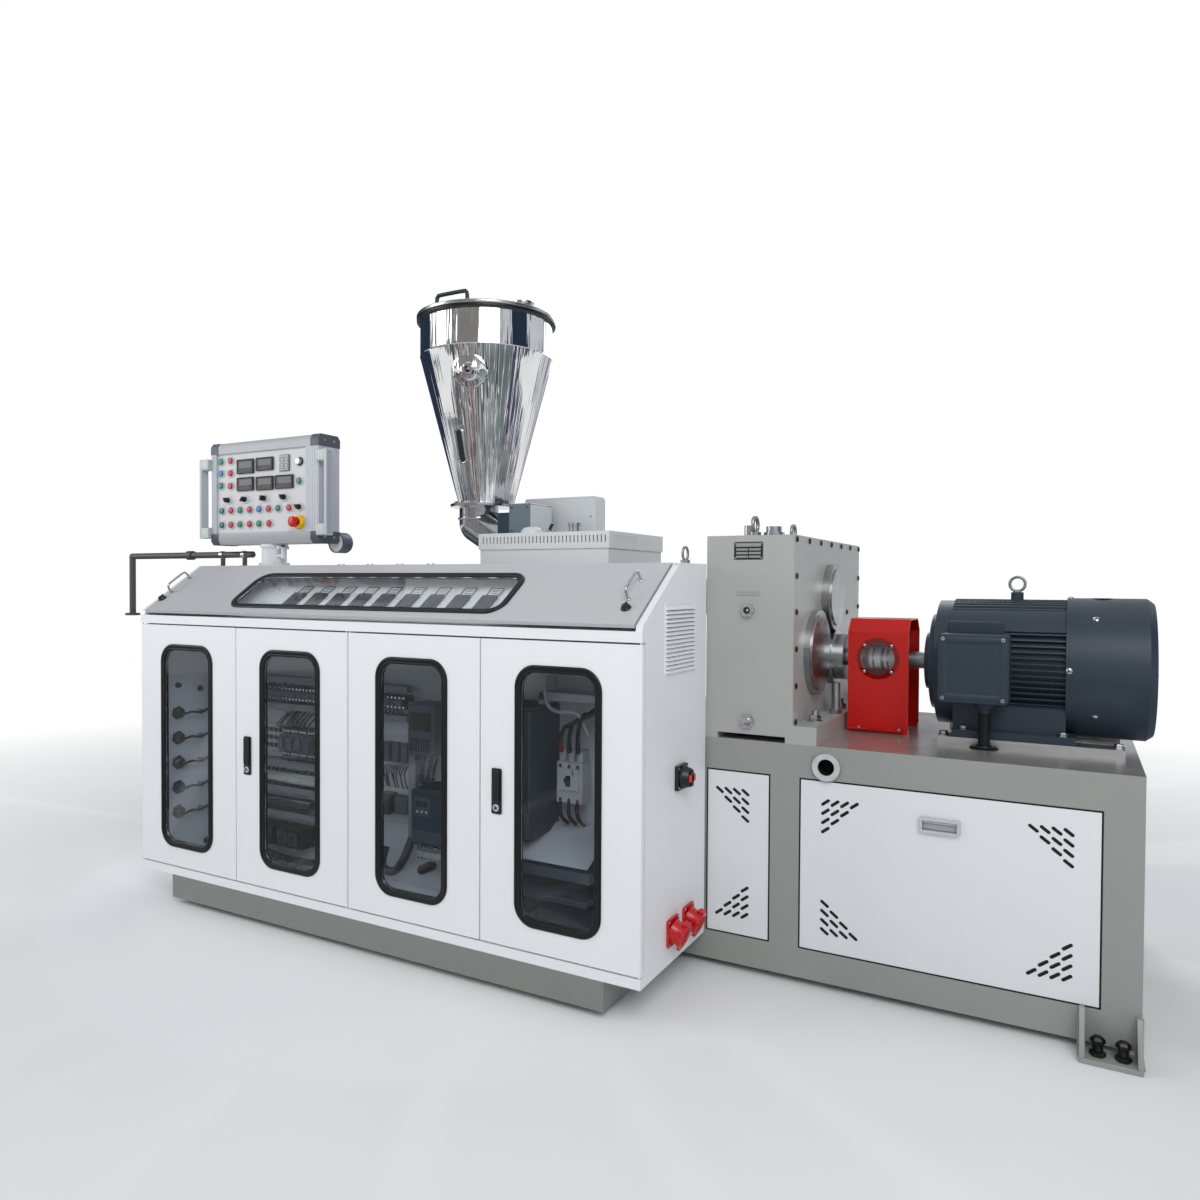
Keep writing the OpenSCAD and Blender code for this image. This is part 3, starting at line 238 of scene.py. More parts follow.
class Piece:
    """One object under way, whose faces remember which coat they take."""

    def __init__(self, name):
        self.name = name
        self.mesh = bmesh.new()
        self.coats = []

    def slot_of(self, coat):
        if coat not in self.coats:
            self.coats.append(coat)
        return self.coats.index(coat)

    def skin(self, place, loops, coat, caps=True, closed=False):
        """Joins loops of equally many points, in order, into one skin."""
        rows = [[self.mesh.verts.new(place @ point) for point in loop] for loop in loops]
        pairs = list(zip(rows, rows[1:]))
        if closed:
            pairs.append((rows[-1], rows[0]))
        slot = self.slot_of(coat)
        count = len(rows[0])
        faces = []
        for one, other in pairs:
            for i in range(count):
                after = (i + 1) % count
                faces.append(self.mesh.faces.new((one[i], one[after], other[after], other[i])))
        if caps and not closed:
            faces.append(self.mesh.faces.new(list(reversed(rows[0]))))
            faces.append(self.mesh.faces.new(rows[-1]))
        for face in faces:
            face.material_index = slot

    def block(self, place, size, coat, corner=0.0, bevel=1.0):
        """A block that stands on its place, with round or plain upright corners."""
        width, depth, height = size
        bevel = min(bevel, height / 3, width / 3, depth / 3)
        steps = 5 if corner > 0 else 1
        corner = max(corner, bevel)
        levels = [(bevel, 0), (0, bevel), (0, height - bevel), (bevel, height)]
        loops = [rounded(width - 2 * inset, depth - 2 * inset, corner - inset, level, steps)
                 for inset, level in levels]
        self.skin(place, loops, coat)

    def lathe(self, place, profile, coat, sides=24, start=0.0, caps=True):
        """A turned form about its place's own Z, from pairs of radius and height."""
        self.skin(place, [circle(radius, sides, height, start) for radius, height in profile], coat, caps)

    def rod(self, place, radius, height, coat, sides=20, bevel=1.0):
        bevel = min(bevel, radius / 3, height / 3)
        profile = [(radius - bevel, 0), (radius, bevel), (radius, height - bevel), (radius - bevel, height)]
        self.lathe(place, profile, coat, sides)

    def tube(self, place, outer, inner, height, coat, sides=32, bevel=0.8):
        """An open ring that stands on its place."""
        profile = [
            (inner, 0), (outer, 0), (outer, height - bevel), (outer - bevel, height),
            (inner + bevel, height), (inner, height - bevel),
        ]
        self.skin(place, [circle(radius, sides, level) for radius, level in profile], coat, closed=True)

    def strip(self, place, size, corner, profile, coat, steps=8):
        """A profile of inset and height, swept round a rectangle with round corners."""
        width, height = size
        loops = [rounded(width - 2 * inset, height - 2 * inset, corner - inset, level, steps)
                 for inset, level in profile]
        self.skin(place, loops, coat, closed=True)

    def pipe(self, points, radius, coat, sides=8):
        """A round wire or hose through the points."""
        points = [Vector(point) for point in points]
        ways = [(points[min(i + 1, len(points) - 1)] - points[max(i - 1, 0)]).normalized()
                for i in range(len(points))]
        side = ways[0].orthogonal().normalized()
        loops = []
        for point, way in zip(points, ways):
            side = (side - way * side.dot(way)).normalized()
            other = way.cross(side)
            turns = [2 * math.pi * i / sides for i in range(sides)]
            loops.append([point + radius * (side * math.cos(t) + other * math.sin(t)) for t in turns])
        self.skin(Matrix(), loops, coat)

    def done(self, body="machine", replaces=(), smooth=38):
        """Turns the mesh into an object in metres that rides on a body."""
        bmesh.ops.recalc_face_normals(self.mesh, faces=self.mesh.faces[:])
        data = mesh_data(self.name, self.mesh)
        data.transform(Matrix.Translation(ORIGIN) @ Matrix.Scale(MM, 4))
        for coat in self.coats:
            data.materials.append(finish(coat))
        data.shade_smooth()
        data.set_sharp_from_angle(angle=math.radians(smooth))
        made = placed(self.name, data)
        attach(made, body)
        if replaces:
            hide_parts(*replaces)


def bend(points, steps=6):
    """A smooth line through the points."""
    points = [Vector(point) for point in points]
    ends = [points[0]] + points + [points[-1]]
    line = []
    for a, b, c, d in zip(ends, ends[1:], ends[2:], ends[3:]):
        for step in range(steps):
            t = step / steps
            line.append(0.5 * ((2 * b) + (c - a) * t + (2 * a - 5 * b + 4 * c - d) * t * t
                               + (3 * b - a - 3 * c + d) * t ** 3))
    return line + [points[-1]]


def dress(node, coat):
    """Gives a CAD node its finish."""
    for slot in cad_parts[node].material_slots:
        slot.material = finish(coat)


# Screws and bolts

def hex_bolt(piece, place, size):
    """A hexagon head with its washer; size is the thread's."""
    across = size * 0.87
    piece.rod(place, size * 1.08, size * 0.16, BRIGHT, sides=24, bevel=0.4)
    head = [(across * 0.96, size * 0.16), (across, size * 0.22), (across, size * 0.72),
            (across * 0.9, size * 0.82)]
    piece.lathe(place, head, BRIGHT, sides=6)


def socket_bolt(piece, place, radius, height, metal):
    """A round head with a hexagon socket in it."""
    edge = radius * 0.12
    profile = [
        (radius, 0), (radius, height - edge), (radius - edge, height),
        (radius * 0.5, height), (radius * 0.5, height * 0.45),
    ]
    piece.lathe(place, profile, metal, sides=18)


def pan_screw(piece, place, radius):
    """A low domed head with a crossed slot, drawn as painted shade."""
    dome = [(radius, 0), (radius * 0.96, radius * 0.22), (radius * 0.7, radius * 0.42),
            (radius * 0.3, radius * 0.5)]
    piece.lathe(place, dome, BRIGHT, sides=18)
    # The crossed slot is a thin dark block: painted shade in the slot
    for turn in (0, 90):
        slot = shifted(place, 0, 0, radius * 0.47, turn)
        piece.block(slot, (radius * 0.95, radius * 0.16, radius * 0.08), HOLE_SHADE, bevel=0.1)


# Shared effects

def label(key):
    """A value's name as an effect's socket shows it."""
    return key.replace("_", " ").capitalize()


class Nodes:
    """A node tree under way."""

    def __init__(self, tree):
        self.tree = tree

    def add(self, kind, **values):
        node = self.tree.nodes.new(kind)
        for name, value in values.items():
            setattr(node, name, value)
        return node

    def feed(self, socket, value):
        if isinstance(value, bpy.types.NodeSocket):
            self.tree.links.new(value, socket)
        else:
            socket.default_value = value

    def math(self, operation, *values, clamp=False):
        node = self.add("ShaderNodeMath", operation=operation, use_clamp=clamp)
        for socket, value in zip(node.inputs, values):
            self.feed(socket, value)
        return node.outputs[0]

    def vector(self, operation, *values):
        node = self.add("ShaderNodeVectorMath", operation=operation)
        for socket, value in zip(node.inputs, values):
            self.feed(socket, value)
        return node.outputs["Value" if operation in ("LENGTH", "DOT_PRODUCT") else "Vector"]

    def ramp(self, value, low, high, low_out=0.0, high_out=1.0):
        node = self.add("ShaderNodeMapRange")
        for socket, number in zip(node.inputs, (value, low, high, low_out, high_out)):
            self.feed(socket, number)
        return node.outputs["Result"]

    def mix(self, factor, one, other):
        node = self.add("ShaderNodeMix", data_type="RGBA")
        self.feed(node.inputs[0], factor)
        self.feed(node.inputs[6], one)
        self.feed(node.inputs[7], other)
        return node.outputs[2]

    def noise(self, vector, scale, detail=2.0):
        node = self.add("ShaderNodeTexNoise")
        self.feed(node.inputs["Vector"], vector)
        self.feed(node.inputs["Scale"], scale)
        self.feed(node.inputs["Detail"], detail)
        return node.outputs["Fac"]

    def between(self, factor, one, other):
        """A number that goes from one to the other as the factor goes from 0 to 1."""
        node = self.add("ShaderNodeMix", data_type="FLOAT")
        for socket, value in zip(node.inputs, (factor, None, one, other)):
            if value is not None:
                self.feed(socket, value)
        return node.outputs[0]

    def spot(self):
        return self.add("ShaderNodeTexCoord").outputs["Object"]

    def effect(self, name, **values):
        """Places a shared effect with its own values, and gives back its output."""
        node = self.add("ShaderNodeGroup", node_tree=shared_effect(name))
        for key, value in values.items():
            self.feed(node.inputs[label(key)], value)
        return node.outputs[0]

    def grain(self, size, detail):
        return self.effect("grain", size=size, detail=detail)

    def clouded(self, size, detail, one, other, low=0.3):
        """A colour that drifts from one to the other in patches of a real size."""
        return self.mix(self.ramp(self.grain(size, detail), low, 0.7), one, other)


def group_of(name, output, **inputs):
    """An empty effect: its nodes, its input node and its output socket."""
    tree = bpy.data.node_groups.new(name, "ShaderNodeTree")
    for key, value in inputs.items():
        kind = "NodeSocketVector" if isinstance(value, tuple) else "NodeSocketFloat"
        socket = tree.interface.new_socket(label(key), in_out="INPUT", socket_type=kind)
        socket.default_value = value
    tree.interface.new_socket(output, in_out="OUTPUT", socket_type="NodeSocketFloat")
    nodes = Nodes(tree)
    return nodes, nodes.add("NodeGroupInput").outputs, nodes.add("NodeGroupOutput").inputs[0]


def grain_effect():
    """Even noise of a real size, for orange peel, castings and moulded plastic."""
    nodes, given, out = group_of("Grain", "Value", size=0.004, detail=2.0)
    scale = nodes.math("DIVIDE", 1.0, given["Size"])
    nodes.feed(out, nodes.noise(nodes.spot(), scale, given["Detail"]))
    return nodes.tree


def brushed_effect():
    """Fine lines, as close as Lines says along each axis."""
    nodes, given, out = group_of("Brushed lines", "Value", lines=(2.0, 900.0, 900.0))
    stretched = nodes.vector("MULTIPLY", nodes.spot(), given["Lines"])
    nodes.feed(out, nodes.noise(stretched, 1.0, 3.0))
    return nodes.tree


def turned_effect():
    """Rings left by a lathe about an axis along X through Centre."""
    nodes, given, out = group_of("Turned rings", "Value", centre=(0.0, 0.0, 0.0), pitch=0.0012)
    away = nodes.vector("SUBTRACT", nodes.spot(), given["Centre"])
    flat = nodes.vector("MULTIPLY", away, (0.0, 1.0, 1.0))
    rings = nodes.math("DIVIDE", nodes.vector("LENGTH", flat), given["Pitch"])
    node = nodes.add("ShaderNodeTexNoise", noise_dimensions="1D")
    nodes.feed(node.inputs["W"], rings)
    nodes.feed(out, node.outputs["Fac"])
    return nodes.tree


def rolled_effect():
    """Long soft creases of sheet that was rolled round an upright axis through Centre."""
    nodes, given, out = group_of("Rolled sheet", "Height", centre=(0.0, 0.0, 0.0), creases=5.0)
    away = nodes.vector("SUBTRACT", nodes.spot(), given["Centre"])
    parts = nodes.add("ShaderNodeSeparateXYZ")
    nodes.feed(parts.inputs[0], away)
    angle = nodes.math("ARCTAN2", parts.outputs["X"], nodes.math("MULTIPLY", parts.outputs["Y"], -1.0))
    around = nodes.math("MULTIPLY", angle, given["Creases"])
    joined = nodes.add("ShaderNodeCombineXYZ")
    nodes.feed(joined.inputs["X"], around)
    nodes.feed(joined.inputs["Y"], nodes.math("MULTIPLY", parts.outputs["Z"], 1.1))
    nodes.feed(out, nodes.noise(joined.outputs[0], 1.0, 2.5))
    return nodes.tree


def edge_effect():
    """Picks out edges within Radius, broken up by noise."""
    nodes, given, out = group_of("Edge wear", "Mask", radius=0.002, gain=6.0, patch=0.02)
    bevel = nodes.add("ShaderNodeBevel", samples=4)
    nodes.feed(bevel.inputs["Radius"], given["Radius"])
    true_normal = nodes.add("ShaderNodeNewGeometry").outputs["Normal"]
    turned = nodes.math("SUBTRACT", 1.0, nodes.vector("DOT_PRODUCT", bevel.outputs[0], true_normal))
    patches = nodes.noise(nodes.spot(), nodes.math("DIVIDE", 1.0, given["Patch"]), 4.0)
    kept = nodes.ramp(patches, 0.42, 0.62)
    nodes.feed(out, nodes.math("MULTIPLY", nodes.math("MULTIPLY", turned, given["Gain"]), kept, clamp=True))
    return nodes.tree


def dust_effect():
    """Dust that settles on tops and gathers below Low height."""
    nodes, given, out = group_of("Settled dust", "Mask", amount=0.3, low_height=0.35)
    parts = nodes.add("ShaderNodeSeparateXYZ")
    nodes.feed(parts.inputs[0], nodes.spot())
    upward = nodes.add("ShaderNodeSeparateXYZ")
    nodes.feed(upward.inputs[0], nodes.add("ShaderNodeNewGeometry").outputs["Normal"])
    tops = nodes.ramp(upward.outputs["Z"], 0.6, 1.0)
    low = nodes.ramp(parts.outputs["Z"], given["Low height"], 0.0, 0.0, 0.75)
    patches = nodes.ramp(nodes.noise(nodes.spot(), 9.0, 6.0), 0.35, 0.75)
    gathered = nodes.math("MULTIPLY", nodes.math("MAXIMUM", tops, low), patches)
    nodes.feed(out, nodes.math("MULTIPLY", gathered, given["Amount"], clamp=True))
    return nodes.tree


EFFECT_MAKERS = {
    "grain": grain_effect,
    "brushed": brushed_effect,
    "turned": turned_effect,
    "rolled": rolled_effect,
    "edge": edge_effect,
    "dust": dust_effect,
}


@functools.cache
def shared_effect(name):
    """The effect of that name, made the first time it is asked for."""
    return EFFECT_MAKERS[name]()


# Finishes

DUST = tint("a59f93")


class Finish(Nodes):
    """A material under way, with its Principled shader."""

    def __init__(self, name, base, roughness, metallic=0.0):
        self.material = bpy.data.materials.new(name)
        self.material.use_nodes = True
        super().__init__(self.material.node_tree)
        self.shader = self.tree.nodes["Principled BSDF"]
        self.set("Base Color", base)
        self.set("Roughness", roughness)
        self.set("Metallic", metallic)

    def set(self, name, value):
        self.feed(self.shader.inputs[name], value)

    def bump(self, height, distance, strength=1.0):
        node = self.add("ShaderNodeBump")
        self.feed(node.inputs["Height"], height)
        self.feed(node.inputs["Distance"], distance)
        self.feed(node.inputs["Strength"], strength)
        self.set("Normal", node.outputs[0])


def darker(base, share):
    return (*(part * share for part in base[:3]), 1.0)


def chosen(name):
    """A colour from the settings."""
    return tuple(getattr(bpy.context.scene.extruder_colours, name))


def shade(colour_name):
    """A colour by its name in the settings, or else from its screen code."""
    return chosen(colour_name) if colour_name in ExtruderColours.__annotations__ else tint(colour_name)


def painted(name, base, roughness, peel=0.005, depth=0.00012, worn=None, dust=0.22, low_height=0.3,
            shine=0.5):
    """Sprayed paint: orange peel, a little clouding, rubbed edges and dust."""
    coat = Finish(name, base, roughness)
    coat.set("Specular IOR Level", shine)
    painted_colour = coat.clouded(0.22, 5.0, darker(base, 0.985), base)
    if worn:
        rubbed = coat.effect("edge", radius=0.0016, gain=3.0, patch=0.03)
        painted_colour = coat.mix(rubbed, painted_colour, tint(worn))
    settled = coat.effect("dust", amount=dust, low_height=low_height)
    coat.set("Base Color", coat.mix(settled, painted_colour, DUST))
    smears = coat.grain(0.06, 4.0)
    sheen = coat.ramp(smears, 0.3, 0.7, roughness - 0.02, roughness + 0.03)
    coat.set("Roughness", coat.math("ADD", sheen, coat.math("MULTIPLY", settled, 0.5), clamp=True))
    coat.bump(coat.grain(peel, 1.5), depth)
    return coat.material


def base_paint():
    """Paint of the welded base, whose deck is bare ground steel and whose plinth in front is darkened as
    painted shade and dirt.
    """
    base = chosen("base")
    coat = Finish("base_paint", base, 0.42)
    place = coat.add("ShaderNodeSeparateXYZ")
    coat.feed(place.inputs[0], coat.spot())
    upward = coat.add("ShaderNodeSeparateXYZ")
    coat.feed(upward.inputs[0], coat.add("ShaderNodeNewGeometry").outputs["Normal"])
    high = coat.math("GREATER_THAN", place.outputs["Z"], (DECK_HEIGHT - 1) * MM)
    deck = coat.math("MULTIPLY", high, coat.math("GREATER_THAN", upward.outputs["Z"], 0.9))
    colour_now = coat.clouded(0.25, 5.0, darker(base, 0.94), base)
    # The plinth in front is painted darker: painted shade, with dirt
    plinth = coat.math("LESS_THAN", place.outputs["Y"], ORIGIN.y + PLINTH_BACK * MM)
    colour_now = coat.mix(plinth, colour_now, darker(base, 0.66))
    rubbed = coat.effect("edge", radius=0.002, gain=2.2, patch=0.05)
    colour_now = coat.mix(rubbed, colour_now, darker(base, 1.25))
    lines = coat.effect("brushed", lines=(14.0, 420.0, 14.0))
    steel_now = coat.mix(coat.ramp(lines, 0.35, 0.65), tint("a29e9b"), tint("c2bfbd"))
    colour_now = coat.mix(deck, colour_now, steel_now)
    settled = coat.effect("dust", amount=0.12, low_height=0.25)
    settled = coat.math("MULTIPLY", settled, coat.math("SUBTRACT", 1.0, deck))
    coat.set("Base Color", coat.mix(settled, colour_now, DUST))
    coat.set("Metallic", coat.math("MULTIPLY", deck, 0.55))
    smears = coat.grain(0.09, 5.0)
    matt = coat.ramp(smears, 0.3, 0.7, 0.37, 0.48)
    polished = coat.ramp(smears, 0.35, 0.65, 0.2, 0.26)
    coat.set("Roughness", coat.between(deck, matt, polished))
    coat.bump(coat.grain(0.006, 1.5), 0.00012)
    return coat.material


def steel(name, base, roughness, lines, stain):
    """Bare steel with a ground or brushed face, stained in patches."""
    spread = 0.04
    metal = Finish(name, base, roughness, metallic=1.0)
    marks = metal.effect("brushed", lines=lines)
    clouds = metal.grain(0.07, 5.0)
    tone = metal.mix(metal.ramp(marks, 0.3, 0.7), darker(base, 0.84), base)
    if stain:
        tone = metal.mix(metal.ramp(clouds, 0.5, 0.72, 0.0, stain), tone, tint("6d625a"))
    metal.set("Base Color", tone)
    fine = metal.ramp(marks, 0.3, 0.7, -spread, spread)
    broad = metal.ramp(clouds, 0.3, 0.7, roughness - spread, roughness + spread)
    metal.set("Roughness", metal.math("ADD", fine, broad, clamp=True))
    metal.bump(marks, 0.00003)
    return metal.material


def turned_steel():
    """Machined gearbox covers, with rings about the lower cover's middle."""
    base = tint("b0b2b3")
    metal = Finish("turned_steel", base, 0.28, metallic=1.0)
    centre = ORIGIN + Vector((GEARBOX_RIGHT, SHAFT_Y, SHAFT_Z)) * MM
    rings = metal.effect("turned", centre=tuple(centre), pitch=0.0009)
    metal.set("Base Color", metal.clouded(0.05, 5.0, darker(base, 0.8), base, 0.35))
    metal.set("Roughness", metal.ramp(rings, 0.3, 0.7, 0.2, 0.38))
    metal.bump(rings, 0.00006)
    return metal.material


def mirror_steel():
    """Polished sheet of the hopper, creased along its height where it was rolled."""
    base = tint("dfe0e2")
    metal = Finish("mirror_steel", base, 0.06, metallic=1.0)
    low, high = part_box("hopper_lid")
    middle = (low + high) / 2
    creases = metal.effect("rolled", centre=tuple(middle), creases=7.0)
    fine = metal.effect("brushed", lines=(700.0, 700.0, 3.0))
    wipes = metal.grain(0.09, 6.0)
    metal.set("Base Color", metal.mix(metal.ramp(wipes, 0.4, 0.75), base, darker(base, 0.88)))
    metal.set("Roughness", metal.ramp(wipes, 0.35, 0.75, 0.03, 0.08))
    height = metal.math("ADD", creases, metal.math("MULTIPLY", fine, 0.0003))
    metal.bump(height, 0.006)
    return metal.material


def moulded(name, base, roughness):
    """Moulded plastic with a fine skin and thumbed patches."""
    plastic = Finish(name, base, roughness)
    patches = plastic.grain(0.03, 4.0)
    plastic.set("Base Color", plastic.mix(plastic.ramp(patches, 0.3, 0.7), darker(base, 0.88), base))
    plastic.set("Roughness", plastic.ramp(patches, 0.3, 0.7, roughness - 0.06, roughness + 0.08))
    plastic.bump(plastic.grain(0.0012, 2.0), 0.00003)
    return plastic.material


def rubber():
    """Extruded black rubber, glossy on its crowns and chalky in places."""
    base = tint("0c1013")
    skin = Finish("seal_rubber", base, 0.4)
    bloom = skin.grain(0.035, 5.0)
    skin.set("Base Color", skin.mix(skin.ramp(bloom, 0.5, 0.8, 0.0, 0.3), base, tint("181c1f")))
    skin.set("Roughness", skin.ramp(bloom, 0.35, 0.75, 0.34, 0.46))
    skin.set("Specular IOR Level", 0.35)
    skin.bump(skin.grain(0.0015, 2.0), 0.00004)
    return skin.material


def glazing(name, base, through):
    """Clear or tinted sheet; shadows pass through it in their own tint."""
    roughness = 0.02
    glass = Finish(name, base, roughness)
    glass.set("Transmission Weight", 1.0)
    glass.set("IOR", 1.33)
    smears = glass.grain(0.12, 6.0)
    glass.set("Roughness", glass.ramp(smears, 0.45, 0.8, roughness, roughness + 0.05))
    clear = glass.add("ShaderNodeBsdfTransparent")
    glass.feed(clear.inputs["Color"], through)
    either = glass.add("ShaderNodeMixShader")
    glass.feed(either.inputs[0], glass.add("ShaderNodeLightPath").outputs["Is Shadow Ray"])
    glass.feed(either.inputs[1], glass.shader.outputs[0])
    glass.feed(either.inputs[2], clear.outputs[0])
    glass.feed(glass.tree.nodes["Material Output"].inputs["Surface"], either.outputs[0])
    return glass.material


# Finishes by name: a maker of their own, or the colour, the roughness and what sets them apart
SPECIAL = {
    "base_paint": base_paint,
    "panel_coat": lambda: painted("panel_coat", darker(chosen("cabinet"), 0.93), 0.36, dust=0.1),
    "turned_steel": turned_steel,
    "mirror_steel": mirror_steel,
    "seal_rubber": rubber,
}
PAINTS = {
    "cabinet_coat": ("cabinet", 0.3, {"dust": 0.05, "worn": "f6f7f8"}),
    "lid_paint": ("lid", 0.34, {"peel": 0.003, "depth": 0.00008, "dust": 0.12}),
    "gearbox_paint": ("gearbox", 0.3, {"worn": "bcc0bb", "dust": 0.08}),
    "shroud_paint": ("shroud", 0.4, {"dust": 0.3}),
    "guard_gloss": ("guard", 0.24, {"depth": 0.0001, "worn": "e2604f", "dust": 0.03, "shine": 0.3}),
    "motor_paint": ("motor", 0.4, {
        "peel": 0.003, "depth": 0.00016, "worn": "4d5965", "dust": 0.06, "shine": 0.35}),
    "feeder_paint": ("feeder", 0.4, {"peel": 0.003, "worn": "94a1a8"}),
    "feeder_paint_pale": ("b3bdb8", 0.36, {"dust": 0.1}),
    # Pale paint of the chest, also on the feed drive's lit side and top as painted light
    "chest_paint": ("c9ced1", 0.38, {"dust": 0.2}),
    "post_paint": ("d3d5d7", 0.35, {}),
    "pipe_paint": ("4b4441", 0.4, {"worn": "7a716c"}),
    "aluminium": ("a3a8ab", 0.36, {"peel": 0.002, "depth": 0.00002, "dust": 0.04}),
    "upright_aluminium": ("b6bac2", 0.34, {"peel": 0.002, "depth": 0.00002, "dust": 0.04}),
    "face_plate": ("face", 0.42, {"peel": 0.002, "depth": 0.00003, "dust": 0.06}),
    "board_paint": ("c4c7c9", 0.4, {"dust": 0.1, "low_height": 0.05}),
}
STEELS = {
    "rail_steel": ("cfd1d1", 0.42, (6.0, 700.0, 700.0), 0.1),
    "fitting_steel": ("c6c8ca", 0.2, (300.0, 300.0, 300.0), 0),
    "ring_steel": ("a7a9aa", 0.34, (400.0, 400.0, 400.0), 0.3),
    "band_steel": ("a9a6a0", 0.33, (500.0, 6.0, 500.0), 0.45),
    "barrel_steel": ("8e8b86", 0.38, (700.0, 8.0, 8.0), 0.5),
    "die_brass": ("b59563", 0.33, (700.0, 8.0, 8.0), 0.4),
    "throat_steel": ("c0c2c4", 0.16, (300.0, 300.0, 8.0), 0.15),
    "lid_steel": ("b9bbbd", 0.26, (300.0, 300.0, 300.0), 0),
    "black_oxide": ("3b3c3e", 0.4, (300.0, 300.0, 300.0), 0.2),
    "plate_silver": ("c9cbcb", 0.32, (4.0, 600.0, 600.0), 0),
}
PLASTICS = {
    "timer_grey": ("a9adab", 0.4),
    "satin_bright": ("c4c7c9", 0.28),
    "meter_case": ("2c2f37", 0.35),
    "dark_green": ("2b443e", 0.4),
    "lamp_dark": ("24272c", 0.08),
    "black_plastic": ("1c1d1f", 0.38),
    "slate_plastic": ("4b525c", 0.42),
    "inverter_plastic": ("223744", 0.4),
    "pale_plastic": ("c9cac6", 0.45),
    "duct_plastic": ("8b8e92", 0.5),
    "green_plastic": ("green", 0.25),
    "blue_plastic": ("1f6f9e", 0.25),
    "red_plastic": ("red", 0.25),
    "socket_plastic": ("c4141b", 0.24),
    "yellow_plastic": ("yellow", 0.3),
    "meter_glass": ("33373d", 0.12),
    "red_wire": ("8f2024", 0.4),
    "black_wire": ("141517", 0.4),
    # Near-black set into holes, slots and openings: painted shade where light does not reach
    "painted_hole_shade": ("0d0e0f", 0.7),
    "plate_black": ("232425", 0.3),
}
GLASSES = {
    "door_glass": ((0.7, 0.74, 0.78, 1.0), (0.7, 0.73, 0.76, 1.0)),
    "lid_glass": ((0.88, 0.9, 0.92, 1.0), (0.9, 0.91, 0.92, 1.0)),
    "guard_glass": ((0.93, 0.95, 0.97, 1.0), (0.92, 0.94, 0.96, 1.0)),
}
BRIGHT = "fitting_steel"
SATIN = "satin_bright"
MIRROR = "mirror_steel"
OXIDE = "black_oxide"
BLACK = "black_plastic"
SLATE = "slate_plastic"
PALE = "pale_plastic"
WIRE = "black_wire"
# The near-black set into holes, slots and openings is painted shade
HOLE_SHADE = "painted_hole_shade"


@functools.cache
def finish(name):
    """The finish of that name, made from its row in the tables the first time it is asked for."""
    if name in SPECIAL:
        return SPECIAL[name]()
    if name in GLASSES:
        return glazing(name, *GLASSES[name])
    if name in PLASTICS:
        colour_name, roughness = PLASTICS[name]
        return moulded(name, shade(colour_name), roughness)
    if name in STEELS:
        colour_name, roughness, lines, stain = STEELS[name]
        return steel(name, shade(colour_name), roughness, lines, stain)
    colour_name, roughness, look = PAINTS[name]
    return painted(name, shade(colour_name), roughness, **look)


# Cabinet and base

LID_HINGE_Y = 245
LID_HINGE_Z = 1247
LID_ANGLE = math.atan(173 / 247)
LID_REACH = 295.6
LID_FACE = 6


def on_lid(along, up, out=LID_FACE):
    """A place on the closed lid, with up measured along it from its lower edge."""
    slope = at(0, LID_HINGE_Y, LID_HINGE_Z) @ Matrix.Rotation(LID_ANGLE, 4, "X")
    return slope @ at(along, up - LID_REACH, out)


def settings():
    return bpy.context.scene.extruder_sizes


def slab(piece, place, outline, thickness, coat):
    """A flat plate from its outline, which stands on its place."""
    loops = [[Vector((x, y, level)) for x, y in outline] for level in (0, thickness)]
    piece.skin(place, loops, coat)


FOOT_WIDTH = 139
SMALL_PANEL = 194
LARGE_PANEL = 773


def corner_foot(piece, place):
    """One welded bracket with its two jacking bolts; the base's face is at the place's Y = 0."""
    width, reach, height = FOOT_WIDTH, 78, 115
    plate, gusset = 14, 12
    paint = "base_paint"
    piece.block(shifted(place, 0, -reach / 2), (width, reach, plate), paint, bevel=1.5)
    outline = [(-reach, plate), (0, plate), (0, height), (-20, height), (-reach, plate + 12)]
    for x in (-width / 2, width / 2 - gusset):
        slab(piece, place @ right_at(x, 0, 0), outline, gusset, paint)
        for side in (-1, gusset + 1):
            top = place @ Vector((x + side, -2, height - 4))
            piece.pipe([top, place @ Vector((x + side, -2, plate))], 3, paint)
            line = [Vector((x + side, -4, plate)), Vector((x + side, 6 - reach, plate))]
            piece.pipe([place @ point for point in line], 3, paint)
    for x in (-0.2 * width, 0.2 * width):
        bolt = shifted(place, x, -0.55 * reach, plate)
        piece.rod(bolt, 11, 34, OXIDE, sides=16)
        for turn in range(6):
            piece.tube(lifted(bolt, 13 + turn * 3), 12, 10.5, 1.6, OXIDE, sides=16, bevel=0.4)
        piece.lathe(bolt, [(18, 0), (19, 1), (19, 10), (17.5, 11)], OXIDE, sides=6)
        piece.lathe(lifted(bolt, 32), [(16, 0), (17.5, 1), (17.5, 9), (12, 15), (4, 16)], OXIDE, sides=6)


def cable_stub(x):
    """Weld round the cable stub, and painted shade lining its bore and closing its bottom."""
    piece = Piece("stub_weld")
    place = front_at(x, BASE_FRONT, DECK_HEIGHT - 58)
    ring = [(42.5, 0), (46, 0), (45, 2.4), (42.5, 4)]
    piece.skin(place, [circle(radius, 48, level) for radius, level in ring], "base_paint", closed=True)
    # Near-black tube and disc inside the bore: painted shade
    piece.tube(lifted(place, -50), 24, 23.2, 58, HOLE_SHADE, sides=40, bevel=0.2)
    piece.rod(lifted(place, -52), 24, 2, HOLE_SHADE, sides=40)
    piece.tube(lifted(place, 9.6), 40, 24, 1.2, SATIN, sides=48, bevel=0.5)
    piece.done()


